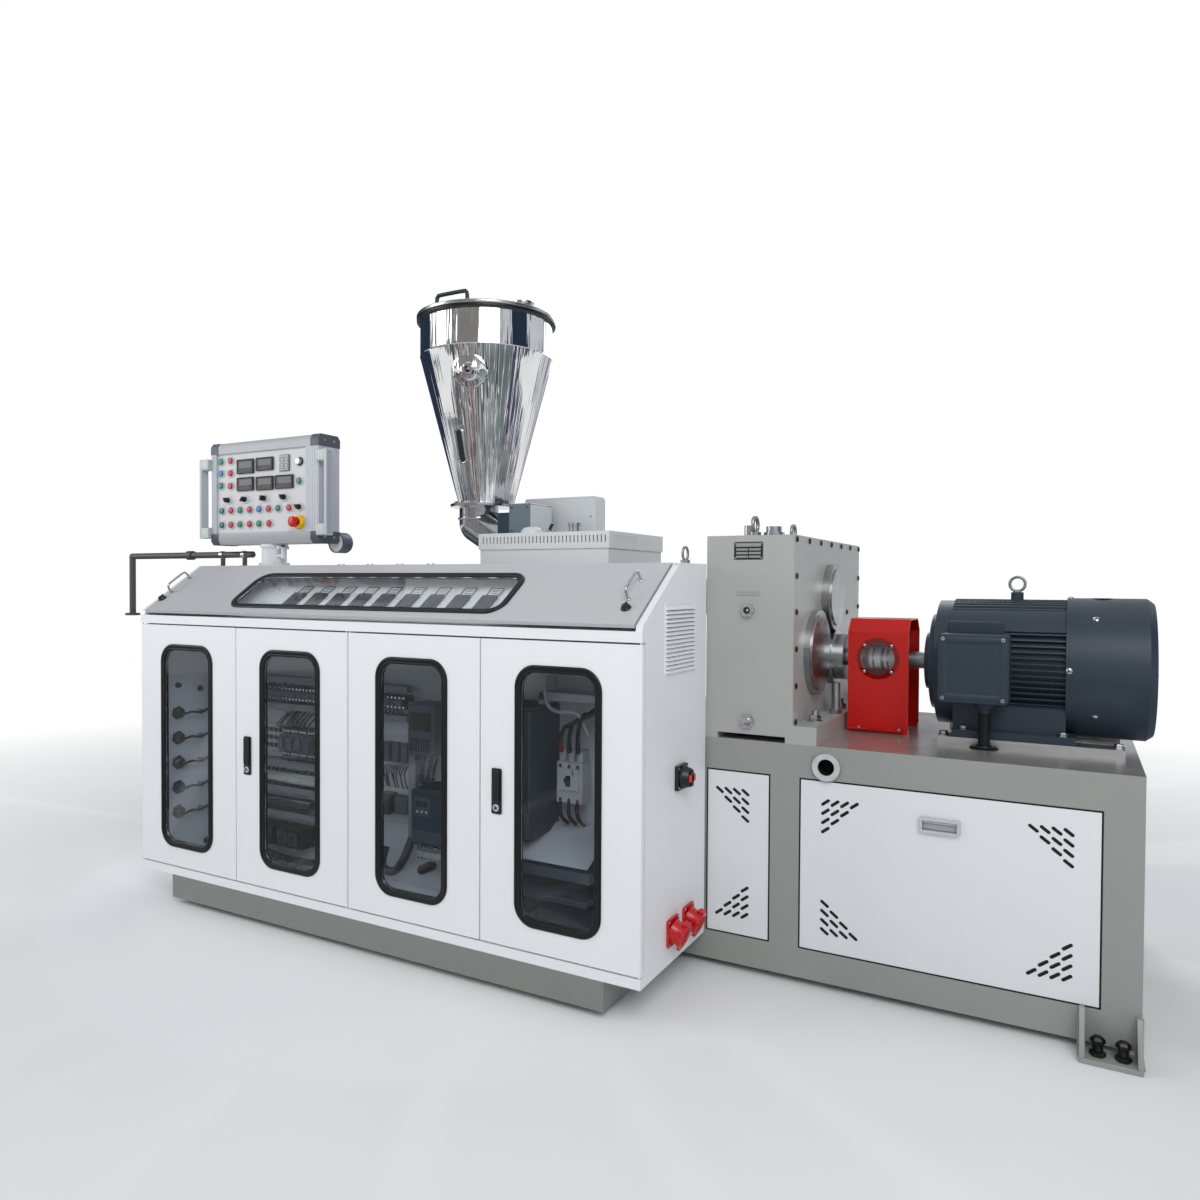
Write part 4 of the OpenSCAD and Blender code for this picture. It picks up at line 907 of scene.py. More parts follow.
def panel_pull():
    """Cup and bar behind the pull plate of the large panel."""
    piece = Piece("panel_pull")
    panel_left = span("base_frame")[1].x - 868
    place = front_at(panel_left + 335 + 52, BASE_FRONT, 529)
    piece.strip(place, (108, 44), 8, [(0, 0), (0, 2), (1.5, 13), (9, 13), (9, 0)], SATIN)
    piece.block(shifted(place, 0, 0), (88, 24, 1.2), "aluminium", bevel=0.3)
    piece.block(shifted(place, 0, 9, 1), (86, 5, 8), SATIN, corner=2, bevel=1.2)
    piece.done()


def panel_slot_shade():
    """Dark blocks in the vent slots of the panels and dark strips in the joint round each panel, on both
    sides: painted shade.
    """
    piece = Piece("panel_slot_shade")
    low, high = span("side_panels")
    pitch_x, pitch_z, slant, longest = 27.5, 27, 37, 4
    joint, lip = 8, 3.9
    columns = ((low.x + 121, -1), (high.x - 700, 1), (high.x - 73, -1))
    for side, y, sense in (("front", low.y, -1), ("back", high.y, 1)):
        for x, along in columns:
            for z, rise in ((low.z + 60, 1), (high.z - 60, -1)):
                for i in range(longest):
                    for j in range(longest - i):
                        spot = (x + along * pitch_x * i, y, z + rise * pitch_z * j)
                        place = facing(side, *spot, sense * slant * along * rise)
                        # Each slot is closed by a dark block: painted shade
                        piece.block(place, (30, 9, 0.6), HOLE_SHADE, corner=4.5, bevel=0.2)
        for left, right in ((low.x, low.x + SMALL_PANEL), (high.x - LARGE_PANEL, high.x)):
            edge = facing(side, (left + right) / 2, y, (low.z + high.z) / 2)
            piece.strip(edge, (right - left + joint, high.z - low.z + joint), 1,
                        [(0, -2), (0, 0.4), (lip, 0.4), (lip, -2)], HOLE_SHADE, steps=1)
    piece.done()


class EXTRUDER_OT_base(Operator):
    """Finishes the welded base and builds its corner feet, stub weld, panel pull and the painted shade in its
    panel slots and joints
    """
    bl_idname = "extruder.base"
    bl_label = "Base"

    def execute(self, context):
        dress("base_frame", "base_paint")
        dress("side_panels", "panel_coat")
        dress("bright_fittings", BRIGHT)
        dress("motor_rails", "rail_steel")
        low, high = span("base_frame")
        feet = Piece("corner_feet")
        inset = FOOT_WIDTH / 2
        corner_foot(feet, at(high.x - inset, BASE_FRONT, 0))
        for x in (low.x + inset, high.x - inset):
            corner_foot(feet, at(x, high.y, 0) @ Matrix.Rotation(math.pi, 4, "Z"))
        feet.done(replaces=["foot_brackets"])
        cable_stub(high.x - 793)
        panel_pull()
        panel_slot_shade()
        return {"FINISHED"}


def door_latch(number):
    """Flush swing handle with its key lock."""
    low, high = span(f"latch_{number}")
    middle = (low + high) / 2
    width, tall = high.x - low.x, high.z - low.z
    piece = Piece(f"swing_latch_{number}")
    place = front_at(middle.x, 0, middle.z)
    piece.block(place, (width, tall, 4.5), BLACK, corner=5, bevel=1.2)
    piece.block(shifted(place, 0, 15, 4), (width - 10, tall * 0.7, 7), BLACK, corner=7, bevel=2.2)
    piece.block(shifted(place, 0, tall * 0.42, 9), (width - 14, 10, 3), BLACK, corner=3)
    lock = shifted(place, 0, -tall * 0.36, 4.5)
    piece.rod(lock, 10.5, 3, SATIN, sides=32, bevel=0.6)
    piece.rod(lifted(lock, 3), 6, 1.6, "blue_plastic", sides=32, bevel=0.4)
    # A dark bar in the lock: painted shade in its key slot
    piece.block(lifted(lock, 4.3), (1.6, 8, 0.6), HOLE_SHADE, bevel=0.1)
    piece.done(f"door{number}_leaf", [f"latch_{number}"])


def power_sockets():
    """Two round power sockets with spring lids, turned down."""
    piece = Piece("supply_sockets")
    red = "socket_plastic"
    for y in (205, 319):
        place = right_at(CABINET_LENGTH, y, 199)
        piece.block(place, (76, 80, 8), red, corner=9, bevel=2)
        for x, z in ((-30, -32), (30, -32), (-30, 32), (30, 32)):
            pan_screw(piece, shifted(place, x, z, 8), 4.2)
        throat = shifted(place, 0, 2, 4) @ Matrix.Rotation(math.radians(20), 4, "X")
        barrel = [(34, 0), (33, 4), (31.5, 8), (31.5, 27), (33.5, 28), (33.5, 33)]
        piece.lathe(throat, barrel, red, sides=40)
        cap = [(36.5, 33.5), (37, 35), (37, 40), (35, 42.5), (28, 43.5), (26, 42.5), (12, 42.5)]
        piece.lathe(throat, cap, red, sides=40)
        piece.block(shifted(throat, 0, 36, 23), (26, 9, 20), red, corner=2, bevel=1.5)
        piece.block(shifted(throat, 0, -38, 29), (18, 10, 12), red, corner=2, bevel=1.5)
        piece.pipe([throat @ Vector((-15, 39, 37)), throat @ Vector((15, 39, 37))], 2.6, red)
        for ridge in range(-2, 3):
            piece.block(shifted(throat, ridge * 5, 0, 42), (2, 36, 1.6), red, corner=0.8, bevel=0.5)
    piece.done(replaces=["power_sockets"])


def main_switch():
    """Turning grip of the main switch, black with a red inlay."""
    dress("switch_plate", BLACK)
    low, high = span("switch_knob")
    place = right_at(high.x - 30, (low.y + high.y) / 2, (low.z + high.z) / 2)
    grip = Piece("switch_grip")
    grip.lathe(place, [(31, 0.3), (33, 1.5), (33, 6), (31, 8), (27, 22), (25, 25)], BLACK, sides=44)
    grip.block(lifted(place, 24), (18, 50, 6), BLACK, corner=7, bevel=2)
    grip.block(lifted(place, 25), (46, 22, 5), "socket_plastic", corner=6, bevel=1.6)
    grip.done("switch_turn", ["switch_knob"])
    ring = Piece("switch_screws")
    for y, z in corners_of(27, 27):
        spot = right_at(CABINET_LENGTH + 12, (low.y + high.y) / 2 + y, 632 + z)
        pan_screw(ring, spot, 4)
    ring.done()


def louvre_frames():
    """Pressed frames round the two sets of louvres, with a dark strip under each slat as its painted shadow.
    """
    piece = Piece("louvre_frames")
    lip = [(0, 0), (1, 1.2), (3, 1.2), (4, 0)]
    y, rows, lowest, pitch = 256.5, 16, 937.6, 11.9
    for side, x in (("right", CABINET_LENGTH), ("left", 0)):
        piece.strip(facing(side, x, y, 1036), (225, 204), 6, lip, "cabinet_coat", steps=4)
        # A dark strip under each slat: painted shadow
        for row in range(rows):
            piece.block(facing(side, x, y, lowest + pitch * row), (200, 2.4, 0.5), SLATE, bevel=0.1)
    piece.done()


class EXTRUDER_OT_cabinet(Operator):
    """Finishes the cabinet and builds its latches, sockets, main switch and louvre frames"""
    bl_idname = "extruder.cabinet"
    bl_label = "Cabinet"

    def execute(self, context):
        dress("cabinet_body", "cabinet_coat")
        dress("mount_plates", "board_paint")
        for number in (1, 2, 3, 4):
            dress(f"door_{number}", "cabinet_coat")
            dress(f"glass_{number}", "door_glass")
        for number in (2, 4):
            door_latch(number)
        power_sockets()
        main_switch()
        louvre_frames()
        return {"FINISHED"}


SEAL_WIDTH = 22
SEAL_TONGUE = 10.4


def window_seal(name, place, size, corner, depth, body, node):
    """Bulged outer lip, groove and filler lip, with the tongue that holds the pane."""
    share = settings().seal_width / SEAL_WIDTH
    lips = [
        (0, 0), (0, 1.5), (1.5, 4), (5, 5), (10, 4.8), (13, 3.2),
        (14.5, 3.2), (17, 4.4), (20.5, 3.5), (22, 1),
    ]
    profile = [(inset * share, height) for inset, height in lips]
    profile += [(SEAL_WIDTH * share, -depth), (SEAL_TONGUE, -depth), (SEAL_TONGUE, 0)]
    piece = Piece(name)
    piece.strip(place, size, corner, profile, "seal_rubber", steps=14)
    piece.done(body, [node], smooth=60)


class EXTRUDER_OT_seals(Operator):
    """Builds the extruded rubber seals of the four door windows and the lid window"""
    bl_idname = "extruder.seals"
    bl_label = "Window seals"

    def execute(self, context):
        for number in (1, 2, 3, 4):
            low, high = span(f"gasket_{number}")
            middle = (low + high) / 2
            place = front_at(middle.x, 0, middle.z)
            size = (high.x - low.x, high.z - low.z)
            body, node = f"door{number}_leaf", f"gasket_{number}"
            window_seal(f"window_seal_{number}", place, size, 66, 16, body, node)
        low, high = span("lid_gasket")
        lower_edge, tall = 30, 212
        place = on_lid((low.x + high.x) / 2, lower_edge + tall / 2)
        window_seal("lid_seal", place, (high.x - low.x, tall), 60, 11, "lid_leaf", "lid_gasket")
        return {"FINISHED"}


class EXTRUDER_OT_lid(Operator):
    """Finishes the sloped lid and builds its bow handles and locks"""
    bl_idname = "extruder.lid"
    bl_label = "Lid"

    def execute(self, context):
        dress("lid_panel", "lid_paint")
        dress("lid_glass", "lid_glass")
        piece = Piece("lid_fittings")
        for along in (50, CABINET_LENGTH - 89):
            line = bend([(0, 0, 0), (0, 0, 22), (0, 6, 32), (0, 19, 34), (0, 76, 34), (0, 89, 32),
                         (0, 95, 22), (0, 95, 0)], 5)
            piece.pipe([on_lid(along, 114) @ point for point in line], 4, BRIGHT, sides=14)
            for up in (114, 209):
                piece.rod(on_lid(along, up), 8, 3, BRIGHT, sides=28)
        for along in (44, CABINET_LENGTH - 78):
            lock = on_lid(along, 72)
            piece.lathe(lock, [(15, 0), (15, 3), (13, 5), (10, 12), (8, 13)], BLACK, sides=28)
            piece.block(lifted(lock, 11), (5, 26, 4), BLACK, corner=2)
        piece.done("lid_leaf", ["lid_handles"])
        return {"FINISHED"}


# Switchgear behind the doors

PLATE_FACE = 330


def at_board(x, z, width, height, out=0.0):
    """The middle of a device on the board, from its lower left corner."""
    return front_at(x + width / 2, PLATE_FACE - out, z + height / 2)


def device(piece, x, z, width, height, depth, coat, corner=2.0, bevel=1.5):
    """A plain case on the board."""
    piece.block(at_board(x, z, width, height), (width, height, depth), coat, corner, bevel)


def duct(piece, x, z, width, height, depth=40):
    """A slotted wiring duct: its lid and the fingers along its two long sides."""
    plastic = "duct_plastic"
    level = width > height
    run, thick = (width, height) if level else (height, width)
    piece.block(at_board(x, z, width, height, depth - 3), (width, height, 5), plastic, bevel=1)
    pitch, finger = 14, 9
    for i in range(int(run // pitch)):
        for side in (0, thick - 2):
            if level:
                device(piece, x + i * pitch, z + side, finger, 2, depth - 2, plastic, 0, 0.3)
            else:
                device(piece, x + side, z + i * pitch, 2, finger, depth - 2, plastic, 0, 0.3)


def rail(piece, x, z, length_mm):
    """A steel mounting rail."""
    metal = "plate_silver"
    device(piece, x, z - 17.5, length_mm, 7, 7, metal, 0, 0.5)
    device(piece, x, z + 10.5, length_mm, 7, 7, metal, 0, 0.5)
    device(piece, x, z - 13, length_mm, 26, 2, metal, 0, 0.3)


def terminal_row(piece, x, z, count, pitch, height, depth, case):
    """A row of slim modules with a stepped front and a screw at each end."""
    for i in range(count):
        left = x + i * pitch
        device(piece, left, z, pitch - 1, height, depth * 0.7, case, 0, 0.5)
        device(piece, left, z + height * 0.28, pitch - 1, height * 0.44, depth, case, 0, 0.7)
        for up in (0.14, 0.86):
            place = front_at(left + pitch / 2, PLATE_FACE - depth * 0.7, z + height * up)
            piece.rod(place, min(pitch * 0.28, 4), 1.2, BRIGHT, sides=10, bevel=0.2)


def contactor(piece, x, z, width, height, depth):
    """A motor starter with stepped terminals above and below its head."""
    device(piece, x, z, width, height, depth * 0.62, SLATE)
    device(piece, x + 2, z + height * 0.2, width - 4, height * 0.6, depth * 0.86, SLATE)
    device(piece, x + 6, z + height * 0.3, width - 12, height * 0.4, depth, SLATE, corner=3)
    for i in range(3):
        for up in (0.1, 0.9):
            place = front_at(x + width * (0.2 + 0.3 * i), PLATE_FACE - depth * 0.62, z + height * up)
            piece.rod(place, width * 0.09, 2, BRIGHT, sides=12, bevel=0.3)


def board_wires(piece, first, pitch, count, z_from, z_to, depth_from, depth_to=30, sag=9):
    """A row of single wires from a device up or down into a duct."""
    radius = settings().wire_radius
    for i in range(count):
        x = first + pitch * i
        lean = 7 * math.sin(2.3 * i + 0.7)
        out = PLATE_FACE - depth_from
        back = PLATE_FACE - depth_to
        middle = (z_from + z_to) / 2
        line = bend([(x, out, z_from), (x, out - sag, z_from + (middle - z_from) * 0.4),
                     (x + lean, (out + back) / 2 - sag, middle), (x + lean, back, z_to)], 4)
        piece.pipe(line, radius, WIRE, sides=6)


def cable_glands():
    """Cable entries on the end wall, with their leads tied back to the board."""
    piece = Piece("cable_glands")
    for i in range(5):
        z = 288 + 97 * i
        place = right_at(20, 140, z)
        piece.lathe(place, [(27, 0), (27, 6), (25, 8)], BLACK, sides=6, start=0.3)
        piece.lathe(place, [(21, 8), (21, 17), (19, 20), (12, 24)], BLACK, sides=28)
        line = bend([(42, 140, z), (58, 142, z - 2), (64, 170, z + 4), (46, 214, z - 5), (40, 250, z - 2),
                     (40, 290, z + 16), (44, 318, z + 40)], 5)
        piece.pipe(line, 5, WIRE, sides=10)
        piece.block(right_at(20, 232, z - 4), (12, 18, 24), "duct_plastic", corner=2)
    for y, z in ((140, 785), (238, 763)):
        piece.lathe(right_at(20, y, z), [(11, 0), (11, 5), (8, 9), (8, 14)], BLACK, sides=20)
    piece.done(replaces=["cabinet_gear"])


def left_group():
    """Ducts, terminal rows, contactors and transformers at the left, and the hose along the floor."""
    piece = Piece("switchgear_left")
    left, wide = 262, 370
    duct(piece, left, 802, wide, 26)
    rail(piece, left, 764, wide)
    terminal_row(piece, left + 6, 736, 20, 18, 54, 62, SLATE)
    duct(piece, left, 700, wide, 26)
    duct(piece, 452, 642, 28, 60)
    rail(piece, left, 590, wide)
    device(piece, 300, 530, 138, 108, 12, PALE, 4)
    for i in range(5):
        for j in range(3):
            device(piece, 312 + 24 * i, 546 + 30 * j, 14, 16, 18, BLACK, 1)
    for i in range(4):
        contactor(piece, 446 + i * 44, 526, 42, 109, 84)
    duct(piece, left, 476, wide, 30)
    rail(piece, left, 440, wide)
    terminal_row(piece, left + 4, 418, 26, 14, 44, 58, PALE)
    duct(piece, left, 382, wide, 24)
    rail(piece, left, 338, wide)
    terminal_row(piece, left + 4, 322, 30, 10, 34, 44, "dark_green")
    duct(piece, left, 284, wide, 24)
    transformer(piece, 282, 187)
    transformer(piece, 438, 187)
    for lower in range(3):
        place = front_at(470 + 56 * lower, PLATE_FACE - 92, 152)
        piece.rod(place, 15, 12, BLACK, sides=20)
    board_wires(piece, left + 16, 18, 19, 736, 724, 44)
    board_wires(piece, left + 16, 18, 19, 790, 806, 44)
    board_wires(piece, 454, 14.5, 12, 526, 504, 60)
    board_wires(piece, 454, 14.5, 12, 636, 700, 60, 30, 26)
    board_wires(piece, left + 11, 14, 25, 420, 402, 40)
    board_wires(piece, left + 9, 10, 29, 324, 305, 32, 26)
    board_wires(piece, left + 11, 14, 25, 462, 480, 40)
    hose = bend([(40, 250, 150), (150, 262, 146), (330, 268, 150), (520, 262, 140), (700, 266, 150)], 8)
    piece.pipe(hose, 13, WIRE, sides=14)
    piece.done(replaces=["cabinet_gear"])


def transformer(piece, x, z):
    """A laminated core with two wound coils."""
    device(piece, x, z, 138, 16, 80, OXIDE, 0, 1)
    device(piece, x, z + 56, 138, 16, 80, OXIDE, 0, 1)
    for i in range(3):
        device(piece, x + i * 58, z + 14, 22, 44, 80, OXIDE, 0, 1)
    for i in range(2):
        place = front_at(x + 40 + i * 58, PLATE_FACE - 6, z + 36)
        for turn in range(7):
            piece.strip(lifted(place, turn * 12), (46, 46), 8,
                        [(0, 0), (0, 10), (9, 10), (9, 0)], "dark_green", steps=3)


def middle_group():
    """Ducts, small devices and a drive in the middle, with the choke's thick loop."""
    piece = Piece("switchgear_middle")
    left = 860
    duct(piece, left, 802, 190, 24)
    rail(piece, left, 768, 190)
    terminal_row(piece, left + 4, 744, 10, 18, 46, 60, SLATE)
    duct(piece, left, 700, 190, 22)
    duct(piece, 1066, 300, 32, 476, 50)
    device(piece, 920, 536, 142, 104, 10, PALE, 3)
    for i in range(3):
        device(piece, 934 + 40 * i, 552, 28, 70, 34, SLATE, 3)
    device(piece, 920, 333, 142, 122, 10, PALE, 3)
    device(piece, 925, 368, 56, 73, 58, BLACK, 4)
    device(piece, 990, 372, 60, 64, 40, SLATE, 4)
    device(piece, 1108, 604, 112, 175, 105, SLATE, 6, 3)
    device(piece, 1118, 690, 92, 60, 110, BLACK, 4)
    # Dark slots on the large case: painted shade in its vents
    for i in range(8):
        device(piece, 1120 + 11 * i, 618, 6, 46, 107, HOLE_SHADE, 1)
    inverter(piece, 1140, 315, 135, 181, 125)
    terminal_row(piece, 1096, 228, 8, 15, 52, 60, PALE)
    loop = bend([(981, 258, 262), (984, 236, 214), (1010, 226, 192), (1052, 228, 196), (1078, 244, 240),
                 (1082, 280, 300)], 8)
    piece.pipe(loop, 15, WIRE, sides=14)
    piece.lathe(front_at(1132, PLATE_FACE, 198), [(17, 0), (17, 60), (14, 66)], BLACK, sides=24)
    board_wires(piece, left + 13, 18, 10, 742, 720, 44, 28)
    board_wires(piece, 1150, 9, 8, 498, 600, 70, 70, 20)
    board_wires(piece, 934, 12, 9, 536, 458, 16, 16, 14)
    board_wires(piece, 1102, 15, 8, 282, 312, 50, 80, 14)
    piece.done(replaces=["cabinet_gear"])


def inverter(piece, x, z, width, height, depth):
    """A drive: ribbed case, keypad with a dark display, and vents drawn as painted shade."""
    case = "inverter_plastic"
    device(piece, x, z, width, height, depth, case, 9, 4)
    device(piece, x + width * 0.12, z + height * 0.52, width * 0.5, height * 0.34, depth + 5, SLATE, 5)
    display = (width * 0.38, height * 0.1, depth + 6.5)
    device(piece, x + width * 0.18, z + height * 0.7, *display, "meter_glass", 2)
    device(piece, x + 5, z + 6, width - 10, height * 0.2, depth + 3, SLATE, 4)
    # Dark blocks along the top: painted shade in the vents
    for i in range(int((width - 24) // 9)):
        device(piece, x + 14 + i * 9, z + height - 7, 4, 9, depth * 0.86, HOLE_SHADE, 1)
    for i in range(3):
        place = front_at(x + width * (0.24 + 0.14 * i), PLATE_FACE - depth - 4.5, z + height * 0.6)
        piece.rod(place, 4.5, 2, PALE, sides=14)


def right_group():
    """A large drive and the breaker's board at the right, over a sloping sheet and plain cases."""
    piece = Piece("switchgear_right")
    inverter(piece, 1480, 404, 178, 403, 190)
    board = "board_paint"
    device(piece, 1655, 415, 200, 434, 14, board, 2)
    device(piece, 1613, 688, 26, 205, 70, board, 0, 1)
    device(piece, 1613, 822, 240, 26, 70, board, 0, 1)
    breaker(piece)
    sheet = [(1480, 140, 352), (1860, 140, 352), (1860, 300, 428), (1480, 300, 428)]
    loops = [[Vector(point) for point in sheet], [Vector(point) + Vector((0, 0, 3)) for point in sheet]]
    piece.skin(Matrix(), loops, board)
    device(piece, 1482, 304, 380, 32, 180, SLATE, 0, 1)
    device(piece, 1482, 241, 380, 18, 200, SLATE, 0, 1)
    device(piece, 1482, 150, 130, 80, 150, BLACK, 6, 3)
    device(piece, 1640, 140, 210, 66, 120, SLATE, 6, 3)
    tops = [1697, 1727, 1757]
    for i, x in enumerate(tops):
        rise = 760 + 14 * i
        line = bend([(x, 262, 672), (x, 258, 700), (x + 16, 250, rise - 20), (x + 50, 252, rise),
                     (x + 84, 276, rise + 30)], 8)
        piece.pipe(line, 6.5, WIRE, sides=12)
        piece.pipe(bend([(x, 262, 664), (x, 260, 684), (x + 1, 258, 702)], 4), 7.4,
                   ("red_wire", WIRE, WIRE)[i], sides=12)
    conduit = [(1640, 250, 868), (1660, 240, 812), (1700, 238, 792), (1760, 250, 788), (1782, 280, 720)]
    piece.pipe(bend(conduit, 8), 6, PALE, sides=12)
    for i, x in enumerate(tops):
        line = bend([(x, 262, 514), (x, 256, 486), (x + 8, 256, 460), (x + 10, 286, 436)], 6)
        piece.pipe(line, 6, WIRE, sides=12)
    piece.done(replaces=["cabinet_gear"])


def breaker(piece):
    """The main breaker: moulded case, toggle, plain numeral and terminals."""
    left = 1682
    device(piece, left, 506, 92, 128, 72, PALE, 3, 2)
    device(piece, left + 8, 546, 76, 70, 80, PALE, 3, 2)
    device(piece, left + 37, 560, 18, 34, 83, BLACK, 2)
    device(piece, left + 39, 575, 14, 14, 96, BLACK, 3, 2)
    for x in (left + 15, left + 46, left + 77):
        for z in (516, 622):
            piece.rod(front_at(x, PLATE_FACE - 72, z), 6, 2, BRIGHT, sides=16)
        device(piece, x - 9, 634, 18, 36, 60, PALE, 2)
    numeral = Piece("breaker_numeral")
    device(numeral, left + 62, 596, 3, 14, 81.2, BLACK, 0, 0.2)
    device(numeral, left + 59.5, 606, 3, 3, 81.2, BLACK, 0, 0.2)
    numeral.done()


def lid_instruments():
    """Nine plug-in controllers on the tray, each below a framed card."""
    piece = Piece("lid_instruments")
    tray = -49
    for i in range(9):
        left = 625 + 104 * i
        body = on_lid(left + 28.5, 142, tray)
        piece.block(body, (57, 82, 12), "meter_case", corner=3, bevel=2)
        piece.block(shifted(body, 0, -6, 12), (43, 54, 2), BLACK, corner=2, bevel=0.5)
        card = on_lid(left + 31, 209, tray)
        piece.block(card, (52, 44, 3), PALE, corner=3, bevel=0.8)
        piece.strip(lifted(card, 3), (50, 42), 3, [(0, 0), (0, 2), (3, 2), (3, 0)], BLACK, steps=3)
        for row in (-8, 2, 10):
            piece.block(shifted(card, 0, row, 3), (30, 3, 0.8), SLATE, bevel=0.2)
    piece.done(replaces=["cabinet_gear"])


class EXTRUDER_OT_switchgear(Operator):
    """Builds the devices, ducts and wires that show through the cabinet's windows"""
    bl_idname = "extruder.switchgear"
    bl_label = "Switchgear"

    def execute(self, context):
        cable_glands()
        left_group()
        middle_group()
        right_group()
        lid_instruments()
        return {"FINISHED"}


# Control box

BOX_LEFT = 60
BOX_FRONT = 262
BOX_LOW = 1337
BOX_WIDTH = 592
BOX_TALL = 401
BOX_DEEP = 105
BAR_HEIGHT = 43
FACE_BACK = 8


def on_box(x, z, back=FACE_BACK):
    """A place on the control box's face, from its lower left corner; its own Z points forward."""
    return front_at(BOX_LEFT + x, BOX_FRONT + back, BOX_LOW + z)


def box_outline(low, high, grow=0.0):
    """Depth and height round one of the box's bars, with the box's own bevelled long edges."""
    ends = []
    if low <= 0:
        ends += [(BOX_DEEP + grow, 14), (BOX_DEEP - 10, -grow), (10, -grow), (-grow, 14)]
    else:
        ends += [(BOX_DEEP + grow, low), (-grow, low)]
    if high >= BOX_TALL:
        ends += [(-grow, BOX_TALL - 14), (10, BOX_TALL + grow), (BOX_DEEP - 10, BOX_TALL + grow),
                 (BOX_DEEP + grow, BOX_TALL - 14)]
    else:
        ends += [(-grow, high), (BOX_DEEP + grow, high)]
    return ends


def box_bar(piece, x, width, low, high, coat, grow=0.0):
    """A length of the box's own section between two heights."""
    place = right_at(BOX_LEFT + x, BOX_FRONT, BOX_LOW)
    slab(piece, place, box_outline(low, high, grow), width, coat)


def box_shell():
    """Bars, end caps and face plate, ribbed uprights, and the sounder behind the box."""
    piece = Piece("control_case")
    metal = "aluminium"
    upright = "upright_aluminium"
    cap = 42
    for low, high in ((0, BAR_HEIGHT), (BOX_TALL - BAR_HEIGHT, BOX_TALL)):
        box_bar(piece, cap, BOX_WIDTH - 2 * cap, low, high, metal)
        for x in (0, BOX_WIDTH - cap):
            box_bar(piece, x, cap, low, high, SLATE, 1.5)
            for back in (30, 75):
                place = facing("right" if x else "left", BOX_LEFT + (BOX_WIDTH if x else 0), BOX_FRONT + back,
                               BOX_LOW + (low + high) / 2)
                pan_screw(piece, place, 4)
    face_tall = BOX_TALL - 2 * BAR_HEIGHT
    middle = BOX_TALL / 2
    box_bar(piece, 2, 28, BAR_HEIGHT, BOX_TALL - BAR_HEIGHT, upright)
    box_bar(piece, BOX_WIDTH - 68, 66, BAR_HEIGHT, BOX_TALL - BAR_HEIGHT, upright)
    face = (494, face_tall, BOX_DEEP - FACE_BACK)
    piece.block(on_box(277, middle, BOX_DEEP), face, "face_plate", bevel=0.5)
    trim = [(0, 0), (0, 1.6), (3, 1.6), (4, 0)]
    piece.strip(on_box(276, middle), (494, face_tall), 1, trim, upright, steps=1)
    for x in (6, 12, 18, 24):
        piece.block(on_box(x, middle, 0), (2, face_tall - 4, 1), upright, bevel=0.3)
    for x in (534, 546, 558, 570, 582):
        piece.block(on_box(x, middle, 0), (3, face_tall - 4, 1.2), upright, bevel=0.4)
    for side, x in (("left", 2), ("right", BOX_WIDTH - 2)):
        place = facing(side, BOX_LEFT + x, BOX_FRONT, BOX_LOW + middle)
        sign = 1 if side == "right" else -1
        for deep in (8, 14, 40, 46, 52, 84, 90):
            piece.block(shifted(place, sign * deep, 0), (3, face_tall - 6, 1.6), upright, bevel=0.5)
    sounder = facing("back", BOX_LEFT + BOX_WIDTH - 18, BOX_FRONT + BOX_DEEP, BOX_LOW + 4)
    piece.lathe(sounder, [(39, 0), (39, 44), (37, 50), (30, 52), (20, 52)], SLATE, sides=48)
    piece.rod(lifted(sounder, -1.5), 36, 2, PALE, sides=48)
    piece.tube(lifted(sounder, -3), 39.4, 35, 9, SLATE, sides=48)
    piece.done("box_head", ["control_box"])


def box_handles():
    """A pull at each end: two cast brackets and an extruded grip."""
    piece = Piece("control_handles")
    cast = "feeder_paint_pale"
    grip = "upright_aluminium"
    for side, x in (("right", BOX_WIDTH), ("left", 0)):
        place = facing(side, BOX_LEFT + x, BOX_FRONT + 2, BOX_LOW)
        for z in (47.5, 319.5):
            piece.block(shifted(place, 0, z, -1), (36, 43, 42), cast, corner=5, bevel=2.5)
            piece.rod(shifted(place, 0, z, 40), 6, 12.2, BRIGHT, sides=20)
        piece.block(shifted(place, 0, 183.5, 40), (36, 315, 12), grip, corner=3, bevel=2.5)
        for ridge in (-11, -5.5, 0, 5.5, 11):
            piece.block(shifted(place, ridge, 183.5, 51), (2, 307, 1), grip, bevel=0.3)
    piece.done("box_head")


def button(piece, x, z, coat):
    """Flush push button in its bright bezel."""
    radius = settings().button_radius
    place = on_box(x, z)
    piece.lathe(place, [(radius, 0), (radius, 2.5), (radius - 1.5, 4), (radius - 5, 4)], SATIN, sides=36)
    piece.lathe(place, [(radius - 4.6, 3), (radius - 4.6, 9), (radius - 6, 10.6), (2, 11.2)], coat, sides=32)


def selector(piece, x, z, turn):
    """A turning knob with a bar grip and its pale pointer."""
    place = on_box(x, z)
    piece.lathe(place, [(17, 0), (17, 2.5), (15.5, 4), (10, 4)], SATIN, sides=36)
    piece.lathe(place, [(10.5, 3), (10.5, 12), (9, 14)], BLACK, sides=32)
    bar = shifted(place, 0, 0, 13, turn)
    piece.block(bar, (7, 20, 14), BLACK, corner=3, bevel=1.6)
    piece.block(shifted(bar, 0, 6, 13.6), (1.6, 6, 0.8), PALE, bevel=0.2)


